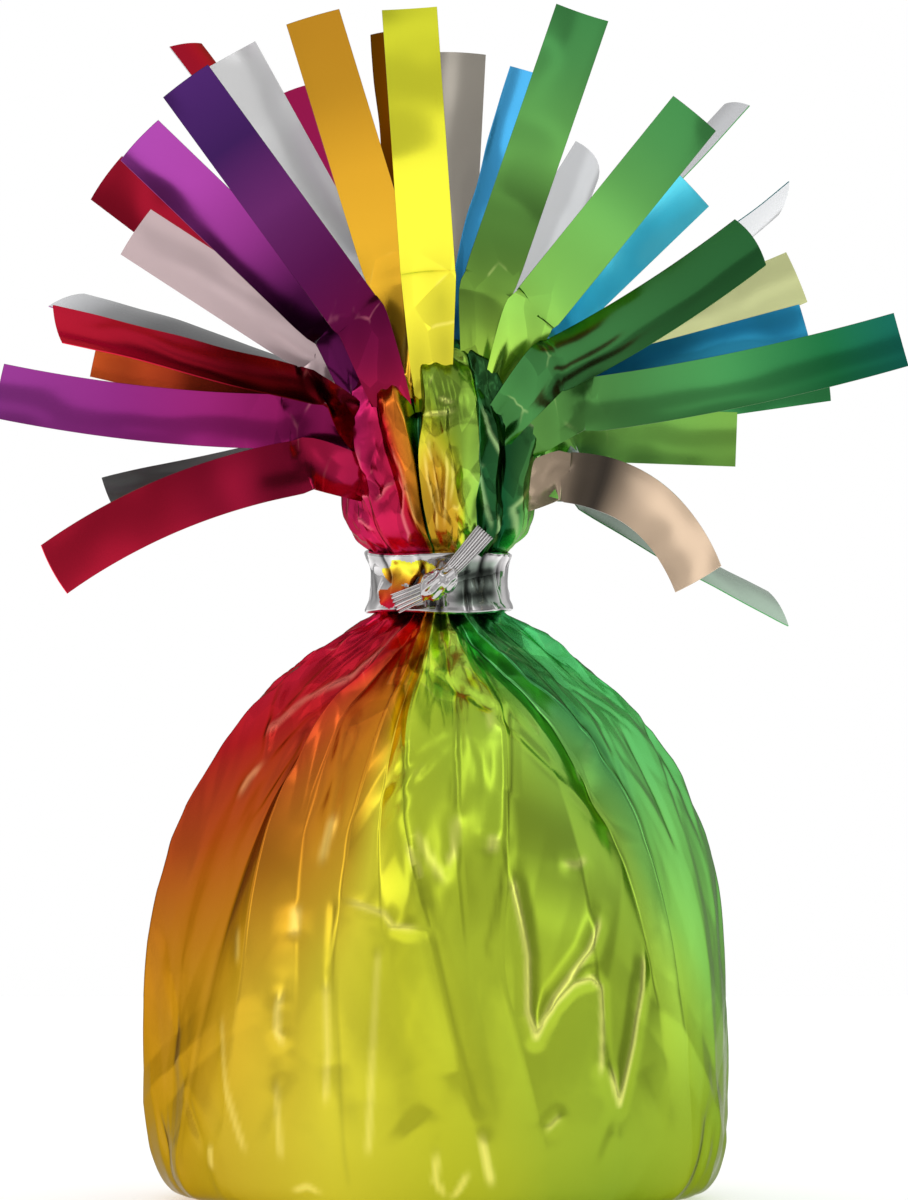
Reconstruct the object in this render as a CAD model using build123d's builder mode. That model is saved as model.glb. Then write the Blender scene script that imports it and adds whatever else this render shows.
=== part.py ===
"""Balloon weight: a plaster-filled cup in printed metallised film, tied at the neck, with a fringed top."""
import os
from math import cos, radians, sin

from build123d import *

# Weight inside the wrap: a tapered cup, mouth down, filled with plaster and closed by a card disc
cup_mouth_radius = 28.8
cup_top_radius = 25.5
cup_height = 42.0
cup_wall = 1.0
cup_shoulder_fillet = 7.0
card_thickness = 1.5
fit_clearance = 0.1

# Film wrap: the skirt round the weight, from its flat base up to the tie
film_thickness = 0.35
base_radius = 30.0
skirt_radius = 34.0
corner_height = 6.7
side_height = 28.0
side_taper = 0.4
skirt_height = 68.4
skirt_top_radius = 8.2
# Rounded base corner: share of the corner's height, share of the way out to the side
corner_shares = ((0.22, 0.42), (0.58, 0.82), (1.0, 1.0))
# Dome: share of the rise from the side to the tie, share of the width that is left
dome_shares = (
    (0.0, 1.0),
    (0.17, 0.96),
    (0.32, 0.90),
    (0.50, 0.79),
    (0.69, 0.60),
    (0.82, 0.39),
    (0.92, 0.21),
    (1.0, 0.0),
)

# Folds of the skirt, with flat film between them
# Each fold is placed at five levels: the foot, the side, the shoulder, the neck and the tie
fold_depth = 2.4
shoulder_rise_share = 0.45
neck_rise_share = 0.74
# Turn of each fold to the right of the front at those five levels (degrees)
fold_turns = (
    (-172, -170, -171, -170, -171),
    (-150, -152, -150, -153, -150),
    (-130, -131, -133, -130, -134),
    (-112, -114, -115, -114, -114),
    (-100, -98, -97, -95, -90),
    (-88, -81, -75, -72, -64),
    (-69, -53, -46, -40, -24),
    (-49, -41, -40, -36, -20),
    (-31, -29, -33, -31, -16),
    (-19, -21, -19, -15, -10),
    (-5, -11, -14, -12, -7),
    (10, 0, -8, -9, -3),
    (16, 6, 4, 6, 2),
    (24, 12, 15, 19, 6),
    (40, 33, 32, 30, 10),
    (56, 49, 44, 36, 15),
    (61, 53, 48, 41, 20),
    (76, 68, 66, 58, 42),
    (92, 90, 90, 84, 68),
    (112, 110, 111, 108, 98),
    (132, 133, 131, 133, 122),
    (152, 151, 153, 150, 146),
    (171, 171, 170, 172, 168),
)
# How far each fold stands out or in at those levels, as a share of the fold depth
fold_depth_shares = (
    (0.0, 0.2, -0.5, -0.75, -0.9),
    (0.0, 0.25, 0.4, 0.4, 0.0),
    (0.0, 0.0, -0.6, -0.9, -0.95),
    (0.0, 0.25, 0.4, 0.3, 0.0),
    (0.0, -0.2, -0.6, -0.9, -0.9),
    (0.0, 0.3, 0.45, 0.4, 0.0),
    (0.0, -0.55, -0.75, -0.9, -0.75),
    (0.0, 0.3, 0.4, 0.25, 0.0),
    (0.0, -0.2, -0.45, -0.55, -0.75),
    (0.0, 0.2, 0.4, 0.4, 0.0),
    (0.0, -0.15, -0.3, -0.3, -0.5),
    (0.0, 0.3, 0.4, 0.4, 0.0),
    (0.0, -0.15, -0.5, -0.6, -0.8),
    (0.0, 0.2, 0.45, 0.4, 0.0),
    (0.0, -0.2, -0.4, -0.6, -0.8),
    (0.0, -0.4, -0.9, -1.0, -0.95),
    (0.0, 0.4, 0.6, 0.6, 0.0),
    (0.0, 0.0, -0.15, -0.3, -0.75),
    (0.0, 0.2, 0.3, 0.3, 0.0),
    (0.0, -0.25, -0.6, -0.9, -0.95),
    (0.0, 0.25, 0.4, 0.4, 0.0),
    (0.0, 0.0, -0.6, -0.9, -0.95),
    (0.0, 0.25, 0.4, 0.4, 0.0),
)

# Even pleats of the film drawn tight in the tie and above it
pleat_count = 18
pleat_depth_shares = (1.0, 0.55, 0.8)
throat_pleat_share = 0.24

# Silver ribbon tie round the neck, knotted in front
tie_height = 7.0
tie_rim_radius = 8.4
tie_waist_radius = 8.0
tie_thickness = 0.6
tie_end_clearance = 0.15
knot_length = 5.2
knot_radius = 2.1
knot_end_radius = 1.3
knot_rise = 3.6
tail_length = 8.6
tail_root_width = 1.6
tail_end_width = 3.0
tail_depth = 0.8
tail_elevation = 52.0
stub_length = 3.6
stub_elevation = -30.0
tail_sink_share = 0.35
tail_fold_shares = (0.0, 1.0, 0.0, 1.0, 0.0)
tail_film_share = 0.45

# Film above the tie: gathers that open into a crown, from which the fringe springs
gathers_height = 8.3
gathers_flare_height = 3.8
gathers_flare_radius = 10.7
gathers_pleat_shares = (0.20, 0.14, 0.09)
crown_radius = 12.0
crown_rise = 6.0
root_clearance = 0.3

# Fringe: strips of one width and cut depth
strip_length = 46.0
strip_width = 6.4
strip_root_width = 4.2
strip_root_taper = 9.0
# One row a strip: fan to the right from upright, lean to the front, roll about its length, bend along it
strip_angles = (
    (-110, 34, 0, 6),
    (-103, 15, 15, 8),
    (-85, 24, 0, -8),
    (-81, -22, 180, 6),
    (-77, 4, 0, 8),
    (-71, 36, 55, -10),
    (-68, -35, 245, 6),
    (-57, -12, 180, 8),
    (-53, -29, 180, 6),
    (-46, 18, 0, 6),
    (-36, 40, 0, -22),
    (-31, -16, 240, 6),
    (-29, 0, 0, 6),
    (-25, -36, 180, 6),
    (-17, 22, 0, -8),
    (-10, 2, 60, 6),
    (-4, 36, 0, -44),
    (3, -18, 180, 6),
    (11, -2, 55, 8),
    (19, 22, 0, -36),
    (30, -40, 180, 12),
    (39, 29, 0, -14),
    (41, -16, 110, 4),
    (46, 8, 0, 6),
    (59, 43, 0, -8),
    (59, -31, 245, 6),
    (67, -10, 180, 6),
    (75, 8, 0, 6),
    (79, 29, 0, -30),
    (82, -25, 180, 6),
    (92, -6, 0, 8),
    (120, 21, 0, 10),
    (114, -22, 112, 10),
    (-80, -58, 180, 8),
    (80, -58, 180, 8),
)
# How much of the cut depth each strip still has, in the same order
strip_length_shares = (
    1.00, 0.62, 0.92, 0.64, 0.63, 0.92, 1.00, 0.69, 1.00, 0.85, 1.00, 0.97,
    0.82, 0.95, 0.88, 0.75, 0.89, 0.76, 0.67, 0.88, 0.86, 0.85, 0.91, 0.63,
    0.92, 1.00, 0.75, 0.71, 0.99, 0.87, 0.49, 0.56, 0.81, 0.80, 0.80,
)

# Heights and radii that follow from the sizes above
card_top = film_thickness + card_thickness
cup_top = film_thickness + cup_height
cup_draft = (cup_mouth_radius - cup_top_radius) / cup_height
dome_rise = skirt_height - side_height
fold_levels = (
    0,
    side_height,
    side_height + dome_rise * shoulder_rise_share,
    side_height + dome_rise * neck_rise_share,
    skirt_height,
)
tie_bottom = skirt_height + tie_end_clearance
tie_top = tie_bottom + tie_height
gathers_bottom = tie_top + tie_end_clearance
gathers_top = gathers_bottom + gathers_height
crown_centre = gathers_top + crown_rise
throat_radius = tie_waist_radius - tie_thickness - fit_clearance
knot_height = tie_bottom + knot_rise
overrun = strip_width


def cup_radius_at(height):
    """Outer radius of the tapered cup at a height above the floor."""
    return cup_mouth_radius - cup_draft * (height - film_thickness)


def pleated_outline(radius, pleat_share):
    """Corners of a pleated ring of film: fold crests at the radius, valleys between them."""
    corners = []
    half_turn = 180 / pleat_count
    for pleat in range(pleat_count):
        depth_share = pleat_share * pleat_depth_shares[pleat % len(pleat_depth_shares)]
        crest = Vector(radius, 0).rotate(Axis.Z, 2 * pleat * half_turn)
        valley = Vector(radius * (1 - depth_share), 0).rotate(Axis.Z, (2 * pleat + 1) * half_turn)
        corners += [(crest.X, crest.Y), (valley.X, valley.Y)]
    return corners


def at_level(height, values):
    """Value at a height above the floor, from one value a fold level."""
    spans = zip(fold_levels, fold_levels[1:], values, values[1:])
    for low, high, start, end in spans:
        if height <= high:
            return start + (end - start) * (height - low) / (high - low)
    return values[-1]


def folded_outline(height, radius):
    """Corners of the skirt's ring at a height: one corner a fold, out or in from the radius."""
    corners = []
    for turns, depth_shares in zip(fold_turns, fold_depth_shares):
        reach = radius + fold_depth * at_level(height, depth_shares)
        corner = Vector(0, -reach).rotate(Axis.Z, at_level(height, turns))
        corners.append((corner.X, corner.Y))
    return corners


def skirt_sections():
    """Height and radius of each ring of the skirt, from the floor to the tie."""
    side_radius = skirt_radius - side_taper
    sections = [(0, base_radius)]
    for height_share, out_share in corner_shares:
        radius = base_radius + (skirt_radius - base_radius) * out_share
        sections.append((corner_height * height_share, radius))
    for rise_share, width_share in dome_shares:
        radius = skirt_top_radius + (side_radius - skirt_top_radius) * width_share
        sections.append((side_height + dome_rise * rise_share, radius))
    return sections


def save(part, name):
    """Label a finished piece and write its file."""
    part.label = name
    export_step(part, f"parts/{name}.step")


os.makedirs("parts", exist_ok=True)

# Card disc that closes the cup's mouth
with BuildPart() as base_card:
    with BuildSketch(Plane.XY.offset(film_thickness)):
        Circle(cup_radius_at(card_top) - cup_wall - fit_clearance)
    extrude(amount=card_thickness)
save(base_card.part, "base_card")

# Thin tapered cup, open at the floor
with BuildPart() as weight_cup:
    with BuildSketch(Plane.XZ):
        with BuildLine():
            Polyline(
                (0, film_thickness),
                (cup_mouth_radius, film_thickness),
                (cup_top_radius, cup_top),
                (0, cup_top),
                close=True,
            )
        make_face()
    revolve(axis=Axis.Z)
    fillet(weight_cup.edges().group_by(Axis.Z)[-1], cup_shoulder_fillet)
    offset(amount=-cup_wall, openings=weight_cup.faces().sort_by(Axis.Z)[0])
save(weight_cup.part, "weight_cup")

# Plaster cast that fills the cup above the card
with BuildPart() as plaster_weight:
    cast_top = cup_top - cup_wall - fit_clearance
    cast_inset = cup_wall + fit_clearance
    with BuildSketch(Plane.XZ):
        with BuildLine():
            Polyline(
                (0, card_top),
                (cup_radius_at(card_top) - cast_inset, card_top),
                (cup_radius_at(cast_top) - cast_inset, cast_top),
                (0, cast_top),
                close=True,
            )
        make_face()
    revolve(axis=Axis.Z)
    fillet(plaster_weight.edges().group_by(Axis.Z)[-1], cup_shoulder_fillet - cup_wall)
save(plaster_weight.part, "plaster_weight")

# Film skirt: one closed wrap with a flat base, folded where it draws in to the tie
with BuildPart() as foil_skirt:
    for height, radius in skirt_sections():
        with BuildSketch(Plane.XY.offset(height)):
            Polygon(*folded_outline(height, radius), align=None)
    loft(ruled=True)
    for height, radius in skirt_sections():
        inner_height = min(max(height, film_thickness), skirt_height - film_thickness)
        with BuildSketch(Plane.XY.offset(inner_height)):
            Polygon(*folded_outline(height, radius - film_thickness), align=None)
    loft(ruled=True, mode=Mode.SUBTRACT)
save(foil_skirt.part, "foil_skirt")

# Film drawn together inside the tie
with BuildPart() as foil_throat:
    with BuildSketch(Plane.XY.offset(skirt_height)):
        Polygon(*pleated_outline(throat_radius, throat_pleat_share), align=None)
    extrude(amount=gathers_bottom - skirt_height)
save(foil_throat.part, "foil_throat")

# Film opening out again above the tie
crown_foot_radius = (crown_radius**2 - (crown_centre - gathers_top) ** 2) ** 0.5
with BuildPart() as foil_gathers:
    gathers_rings = (
        (gathers_bottom, skirt_top_radius),
        (gathers_bottom + gathers_flare_height, gathers_flare_radius),
        (gathers_top, crown_foot_radius),
    )
    for (height, radius), pleat_share in zip(gathers_rings, gathers_pleat_shares):
        with BuildSketch(Plane.XY.offset(height)):
            Polygon(*pleated_outline(radius, pleat_share), align=None)
    loft(ruled=True)
save(foil_gathers.part, "foil_gathers")

# Bunched crown that the fringe springs from
with BuildPart() as foil_crown:
    with Locations((0, 0, crown_centre)):
        Sphere(crown_radius)
    split(bisect_by=Plane.XY.offset(gathers_top), keep=Keep.TOP)
save(foil_crown.part, "foil_crown")

# Ribbon band, wound flat and drawn in at its waist
with BuildPart() as tie_band:
    tie_middle = (tie_bottom + tie_top) / 2
    with BuildSketch(Plane.XZ):
        with BuildLine():
            ThreePointArc(
                (tie_rim_radius, tie_bottom), (tie_waist_radius, tie_middle), (tie_rim_radius, tie_top)
            )
            Line((tie_rim_radius, tie_top), (tie_rim_radius - tie_thickness, tie_top))
            ThreePointArc(
                (tie_rim_radius - tie_thickness, tie_top),
                (tie_waist_radius - tie_thickness, tie_middle),
                (tie_rim_radius - tie_thickness, tie_bottom),
            )
            Line((tie_rim_radius - tie_thickness, tie_bottom), (tie_rim_radius, tie_bottom))
        make_face()
    revolve(axis=Axis.Z)
save(tie_band.part, "tie_band")

# Knot, a small roll of ribbon that lies against the band
knot_centre = Vector(0, -tie_rim_radius - knot_end_radius, knot_height)
knot_plane = Plane(origin=knot_centre, x_dir=(1, 0, 0), z_dir=(0, -1, 0))
with BuildPart() as tie_knot:
    with BuildSketch(knot_plane):
        with BuildLine():
            Line((-knot_length / 2, 0), (-knot_length / 2, knot_end_radius))
            ThreePointArc(
                (-knot_length / 2, knot_end_radius), (0, knot_radius), (knot_length / 2, knot_end_radius)
            )
            Line((knot_length / 2, knot_end_radius), (knot_length / 2, 0))
            Line((knot_length / 2, 0), (-knot_length / 2, 0))
        make_face()
    revolve(axis=Axis(knot_plane.origin, knot_plane.x_dir))
    with BuildSketch(Plane.XY.offset(tie_bottom - knot_radius)):
        Circle(tie_rim_radius + fit_clearance)
    extrude(amount=tie_height + 2 * knot_radius, mode=Mode.SUBTRACT)
save(tie_knot.part, "tie_knot")


def folded_ribbon(width):
    """Outline of a ribbon end creased lengthwise, as wide as given."""
    steps = len(tail_fold_shares) - 1
    near = []
    far = []
    for step, fold_share in enumerate(tail_fold_shares):
        across = width * (step / steps - 1 / 2)
        near.append((across, tail_depth * (fold_share - 1 / 2)))
        far.append((across, tail_depth * (fold_share - 1 / 2 + tail_film_share)))
    return near + far[::-1]


def ribbon_end(side, elevation, length, end_width):
    """A ribbon end that leaves one end of the knot and widens to its cut."""
    along = Vector(side * cos(radians(elevation)), 0, sin(radians(elevation)))
    start = knot_plane.origin + Vector(side * knot_length / 2, 0, 0) + along * knot_end_radius
    start += Vector(0, -knot_end_radius * tail_sink_share, 0)
    with BuildPart() as ribbon:
        for reach, width in ((0, tail_root_width), (length, end_width)):
            section = Plane(origin=start + along * reach, x_dir=Vector(0, 1, 0).cross(along), z_dir=along)
            with BuildSketch(section):
                Polygon(*folded_ribbon(width), align=None)
        loft(ruled=True)
    return ribbon.part


save(ribbon_end(1, tail_elevation, tail_length, tail_end_width), "tie_tail_long")
save(ribbon_end(-1, stub_elevation, stub_length, tail_root_width), "tie_tail_short")


def fringe_strip(fan, lean, roll, bend, length):
    """One strip: a bent band of film with a rounded root edge, which is the line that it flexes on."""
    along = Vector(
        sin(radians(fan)) * cos(radians(lean)), -sin(radians(lean)), cos(radians(fan)) * cos(radians(lean))
    )
    across = Vector(cos(radians(fan)), 0, -sin(radians(fan))).rotate(Axis((0, 0, 0), along), roll)
    reach = crown_radius + root_clearance + film_thickness / 2
    root = Vector(0, 0, crown_centre) + along * reach
    bend_radius = length / radians(abs(bend))
    with BuildPart() as strip:
        with BuildSketch(Plane(origin=root, x_dir=along, z_dir=across)):
            with BuildLine():
                JernArc((0, 0), (1, 0), bend_radius, bend)
            trace(line_width=film_thickness)
            Circle(film_thickness / 2)
        extrude(amount=strip_width / 2, both=True)
        with BuildSketch(Plane(origin=root, x_dir=along, z_dir=across.cross(along))) as corners:
            with BuildLine():
                Polyline(
                    (-overrun, strip_root_width / 2),
                    (0, strip_root_width / 2),
                    (strip_root_taper, strip_width / 2),
                    (strip_root_taper, strip_width),
                    (-overrun, strip_width),
                    close=True,
                )
            make_face()
            mirror(about=Plane.XZ)
        extrude(amount=overrun, both=True, mode=Mode.SUBTRACT)
    return strip.part


for number, (angles, length_share) in enumerate(zip(strip_angles, strip_length_shares), start=1):
    save(fringe_strip(*angles, strip_length * length_share), f"fringe_strip_{number:02d}")
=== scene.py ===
# %% [markdown]
# # A balloon weight in rainbow film
# A balloon weight is a small heavy cup, wrapped in a sheet of printed metallised film.
# The film is gathered above the cup, tied with silver ribbon, and its free edge is cut into a fringe.
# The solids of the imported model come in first. They fix where everything goes,
# and the pieces made here dress them.

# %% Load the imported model
import math
from functools import partial
from types import SimpleNamespace

import bpy
import numpy as np
from mathutils import Matrix, Quaternion, Vector


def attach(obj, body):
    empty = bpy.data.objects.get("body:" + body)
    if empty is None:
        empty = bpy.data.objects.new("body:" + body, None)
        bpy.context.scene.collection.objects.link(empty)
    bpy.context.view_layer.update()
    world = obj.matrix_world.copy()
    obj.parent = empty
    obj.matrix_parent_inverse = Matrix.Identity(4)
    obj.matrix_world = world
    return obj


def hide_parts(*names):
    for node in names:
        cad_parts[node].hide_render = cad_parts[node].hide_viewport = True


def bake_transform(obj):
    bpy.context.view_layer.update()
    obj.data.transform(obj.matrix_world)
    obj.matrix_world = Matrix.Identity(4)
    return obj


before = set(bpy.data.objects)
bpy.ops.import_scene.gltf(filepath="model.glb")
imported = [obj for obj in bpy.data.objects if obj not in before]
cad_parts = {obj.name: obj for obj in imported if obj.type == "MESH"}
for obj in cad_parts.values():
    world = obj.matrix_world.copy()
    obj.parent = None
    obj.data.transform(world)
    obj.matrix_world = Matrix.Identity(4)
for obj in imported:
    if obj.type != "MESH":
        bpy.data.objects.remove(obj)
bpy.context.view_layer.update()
MM = 0.001
BASE_BODY = "wrapped_weight"

# %% [markdown]
# ## Camera
# The picture is a level product shot through a long lens.
# A distant camera with a narrow view gives the same flat perspective.
# The picture's scale, in millimetres a pixel, also serves later to place the folds that it shows.

# %% Camera at the picture's viewpoint
PICTURE_SIZE = (908, 1200)
PIXEL_MM = 0.1172
FOOT_PIXEL = (439, 1197)
CAMERA_DISTANCE = 1.6
CAMERA_ELEVATION = math.radians(0.8)
SENSOR_HEIGHT = 24.0
VIEW_END = 20.0


def picture_mm(pixel):
    """Where a pixel of the picture lies across the object: millimetres to the right and above the floor."""
    return (pixel[0] - FOOT_PIXEL[0]) * PIXEL_MM, (FOOT_PIXEL[1] - pixel[1]) * PIXEL_MM


def link_object(name, data):
    """A new object at the origin, in the scene's collection."""
    made = bpy.data.objects.new(name, data)
    bpy.context.scene.collection.objects.link(made)
    return made


centre_x, centre_z = picture_mm((PICTURE_SIZE[0] / 2, PICTURE_SIZE[1] / 2))
lens = bpy.data.cameras.new("picture_camera")
lens.sensor_fit = "VERTICAL"
lens.sensor_height = SENSOR_HEIGHT
lens.lens = SENSOR_HEIGHT * CAMERA_DISTANCE / (PICTURE_SIZE[1] * PIXEL_MM * MM)
lens.clip_end = VIEW_END
camera = link_object("picture_camera", lens)
camera.location = (
    centre_x * MM,
    -CAMERA_DISTANCE * math.cos(CAMERA_ELEVATION),
    centre_z * MM + CAMERA_DISTANCE * math.sin(CAMERA_ELEVATION),
)
camera.rotation_euler = (math.pi / 2 - CAMERA_ELEVATION, 0.0, 0.0)
bpy.context.scene.camera = camera
print("lens", round(lens.lens), "mm")

# %% [markdown]
# ## Studio
# Metallised film is a mirror with a tint, so it looks like what surrounds it.
# A plain white room would leave it flat.
# The surroundings here are soft panels of light with darker gaps between them,
# painted by direction on the world.
# Rays from the camera see plain white, as behind a cut-out product shot.

# %% Node helpers
def put(tree, socket, value):
    """Link an output to an input, or set the input's own value."""
    if isinstance(value, bpy.types.NodeSocket):
        tree.links.new(value, socket)
    else:
        socket.default_value = value


def node(tree, kind, inputs=(), **settings):
    """A new node with its settings, and its inputs linked or set, by name or number."""
    made = tree.nodes.new(kind)
    for key, value in settings.items():
        setattr(made, key, value)
    for key, value in dict(inputs).items():
        put(tree, made.inputs[key], value)
    return made


def math_node(tree, operation, a, b=0.0, c=0.0):
    """One step of arithmetic."""
    return node(tree, "ShaderNodeMath", {0: a, 1: b, 2: c}, operation=operation).outputs[0]


def vector_node(tree, operation, a, b=None, scale=None):
    """One step of vector arithmetic."""
    inputs = {0: a, 1: b, "Scale": scale}
    inputs = {key: value for key, value in inputs.items() if value is not None}
    return node(tree, "ShaderNodeVectorMath", inputs, operation=operation).outputs["Vector"]


def new_range(tree, value, low, high, to_low=0.0, to_high=1.0, way="SMOOTHSTEP"):
    """A step from one value to another, soft unless another way is given."""
    inputs = dict(enumerate((value, low, high, to_low, to_high)))
    return node(tree, "ShaderNodeMapRange", inputs, interpolation_type=way).outputs[0]


def attribute(tree, name):
    """A number that the mesh stores under a name."""
    return node(tree, "ShaderNodeAttribute", attribute_name=name).outputs["Fac"]


def start_material(name, inputs=()):
    """A new node material, its tree, and its Principled shader with some inputs set."""
    material = bpy.data.materials.new(name)
    material.use_nodes = True
    shader = material.node_tree.nodes["Principled BSDF"]
    for key, value in dict(inputs).items():
        shader.inputs[key].default_value = value
    return material, material.node_tree, shader


# %% World of soft panels
# Each panel: azimuth from and to, elevation from and to (degrees, 0 faces the camera's side),
# brightness added, softness
LIGHT_PANELS = (
    (-66, -52, 8, 50, 1.3, 4),
    (46, 58, 10, 44, 1.4, 4),
    (-14, 4, 44, 62, 1.8, 5),
    (-34, 36, 6, 13, 0.3, 2.5),
    (98, 150, -4, 40, 0.4, 10),
    (-132, -92, -4, 36, 0.3, 10),
)
DARK_PANELS = (
    (-36, -22, 15, 38, -0.30, 4),
    (12, 34, 16, 36, -0.30, 4),
    (68, 88, -30, 40, -0.40, 6),
    (150, 180, -40, 40, -0.22, 16),
    (-180, -150, -40, 40, -0.22, 16),
)
# Plain brightness low down and high up, between two elevations
ROOM_HEIGHTS = (-30.0, 60.0)
ROOM_LIGHT = (0.66, 0.86)
LEAST_LIGHT = 0.02
WHITE = (1.0, 1.0, 1.0, 1.0)
world = bpy.data.worlds.new("studio_world")
bpy.context.scene.world = world
world.use_nodes = True
sky = world.node_tree
sky.nodes.clear()
sky_math = partial(math_node, sky)


def between(value, low, high, soft):
    """1 between two angles, falling softly to 0 past them."""
    rise = new_range(sky, value, low - soft, low + soft)
    return sky_math("MULTIPLY", rise, new_range(sky, value, high - soft, high + soft, 1.0, 0.0))


ray = node(sky, "ShaderNodeTexCoord").outputs["Generated"]
direction = node(sky, "ShaderNodeSeparateXYZ", {0: ray}).outputs
away = sky_math("MULTIPLY", direction["Y"], -1.0)
azimuth = sky_math("DEGREES", sky_math("ARCTAN2", direction["X"], away))
elevation = sky_math("DEGREES", sky_math("ARCSINE", direction["Z"]))
brightness = new_range(sky, elevation, *ROOM_HEIGHTS, *ROOM_LIGHT)
for low, high, bottom, top, gain, soft in LIGHT_PANELS + DARK_PANELS:
    window = sky_math("MULTIPLY", between(azimuth, low, high, soft), between(elevation, bottom, top, soft))
    brightness = sky_math("MULTIPLY_ADD", window, gain, brightness)
room = node(sky, "ShaderNodeBackground", {"Strength": sky_math("MAXIMUM", brightness, LEAST_LIGHT)})
backdrop = node(sky, "ShaderNodeBackground", {"Strength": 1.0, "Color": WHITE})
from_camera = node(sky, "ShaderNodeLightPath").outputs["Is Camera Ray"]
shown = node(sky, "ShaderNodeMixShader", {0: from_camera, 1: room.outputs[0], 2: backdrop.outputs[0]})
node(sky, "ShaderNodeOutputWorld", {"Surface": shown.outputs[0]})
bpy.context.scene.view_settings.view_transform = "Standard"
print("panels", len(LIGHT_PANELS), "light,", len(DARK_PANELS), "dark")

# %% Pale floor
FLOOR_HALF = 0.55
FLOOR_DROP = -0.0003
FLOOR_CORNERS = ((-1, -1), (1, -1), (1, 1), (-1, 1))
floor_mesh = bpy.data.meshes.new("floor")
corners = [(x * FLOOR_HALF, y * FLOOR_HALF, FLOOR_DROP) for x, y in FLOOR_CORNERS]
floor_mesh.from_pydata(corners, [], [(0, 1, 2, 3)])
floor = link_object("floor", floor_mesh)
floor_mesh.materials.append(start_material("pale_floor", {
    "Base Color": (0.93, 0.93, 0.93, 1.0), "Roughness": 0.9,
    "Emission Color": WHITE, "Emission Strength": 0.45,
})[0])
print("floor", 2 * FLOOR_HALF, "m wide")

# %% [markdown]
# ## Film finish
# The print is one rainbow that runs straight across the flat sheet,
# so a single number, the distance across the sheet, gives the colour.
# Every film piece stores that number as an attribute called rainbow, in millimetres from the sheet's middle.
# The film's unprinted side is bare silver. Both sides share one group that makes fine crinkles.

# %% Crinkle group, shared by every film and ribbon
def new_group(name, inputs, outputs):
    """A shader group with named float inputs and outputs, then what it is given and what it results in."""
    group = bpy.data.node_groups.new(name, "ShaderNodeTree")
    for label, default in inputs.items():
        socket = group.interface.new_socket(label, in_out="INPUT", socket_type="NodeSocketFloat")
        socket.default_value = default
    for label in outputs:
        group.interface.new_socket(label, in_out="OUTPUT", socket_type="NodeSocketFloat")
    return group, node(group, "NodeGroupInput").outputs, node(group, "NodeGroupOutput").inputs


RIPPLE_SHARE = 0.55
RIPPLE_DETAIL = 3.0
CELL_SHARE = 0.5
HAZE_SCALE = 90.0
crinkle_group, given, result = new_group(
    "film_crinkle", {"Crinkle Scale": 220.0, "Gloss": 0.2, "Haze": 0.08}, ("Height", "Roughness")
)
crinkle_math = partial(math_node, crinkle_group)
scale = given["Crinkle Scale"]
place = node(crinkle_group, "ShaderNodeTexCoord").outputs["Object"]
cells = node(crinkle_group, "ShaderNodeTexVoronoi", {"Vector": place, "Scale": scale}, feature="F2").outputs
inputs = {"Vector": place, "Scale": crinkle_math("MULTIPLY", scale, RIPPLE_SHARE), "Detail": RIPPLE_DETAIL}
ripples = node(crinkle_group, "ShaderNodeTexNoise", inputs).outputs
haze = node(crinkle_group, "ShaderNodeTexNoise", {"Vector": place, "Scale": HAZE_SCALE}).outputs
height = crinkle_math("MULTIPLY_ADD", cells["Distance"], CELL_SHARE, ripples["Fac"])
put(crinkle_group, result["Height"], height)
uneven = crinkle_math("MULTIPLY_ADD", haze["Fac"], given["Haze"], given["Gloss"])
put(crinkle_group, result["Roughness"], uneven)
print("group", crinkle_group.name)

# %% Facet group: painted reflections and glints of crumpled film
# Crumpled film breaks into small flat facets, each mirroring something else, with glints along their edges:
# here a painted reflection tone for each facet and painted glints on some of its edges
FACET_STRETCH = (1.0, 1.0, 0.4)
EDGE_WIDTH = 0.05
GLINT_SCALE = 330.0
GLINT_RANGE = (0.54, 0.68)
# Factor and offset of a facet's painted reflection tone, from the distance to its middle and by lot
SLOPE_TONE = (0.9, -0.35)
LOT_TONE = (1.1, -0.55)
facet_group, given, result = new_group(
    "film_facets", {"Facet Scale": 300.0, "Amount": 0.0}, ("Painted Glint", "Painted Reflection")
)
facet_math = partial(math_node, facet_group)
place = node(facet_group, "ShaderNodeTexCoord").outputs["Object"]
place = vector_node(facet_group, "MULTIPLY", place, FACET_STRETCH)
spread = {"Vector": place, "Scale": given["Facet Scale"]}
cells = node(facet_group, "ShaderNodeTexVoronoi", spread).outputs
borders = node(facet_group, "ShaderNodeTexVoronoi", spread, feature="DISTANCE_TO_EDGE").outputs
sparse = node(facet_group, "ShaderNodeTexNoise", {"Vector": place, "Scale": GLINT_SCALE}).outputs
edge = new_range(facet_group, borders["Distance"], 0.0, EDGE_WIDTH, 1.0, 0.0)
edge = facet_math("MULTIPLY", edge, new_range(facet_group, sparse["Fac"], *GLINT_RANGE))
lot = node(facet_group, "ShaderNodeSeparateColor", {0: cells["Color"]}).outputs[0]
slope_tone = facet_math("MULTIPLY_ADD", cells["Distance"], *SLOPE_TONE)
uneven = facet_math("ADD", facet_math("MULTIPLY_ADD", lot, *LOT_TONE), slope_tone)
put(facet_group, result["Painted Glint"], facet_math("MULTIPLY", edge, given["Amount"]))
put(facet_group, result["Painted Reflection"], facet_math("MULTIPLY_ADD", uneven, given["Amount"], 1.0))
print("group", facet_group.name)

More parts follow.
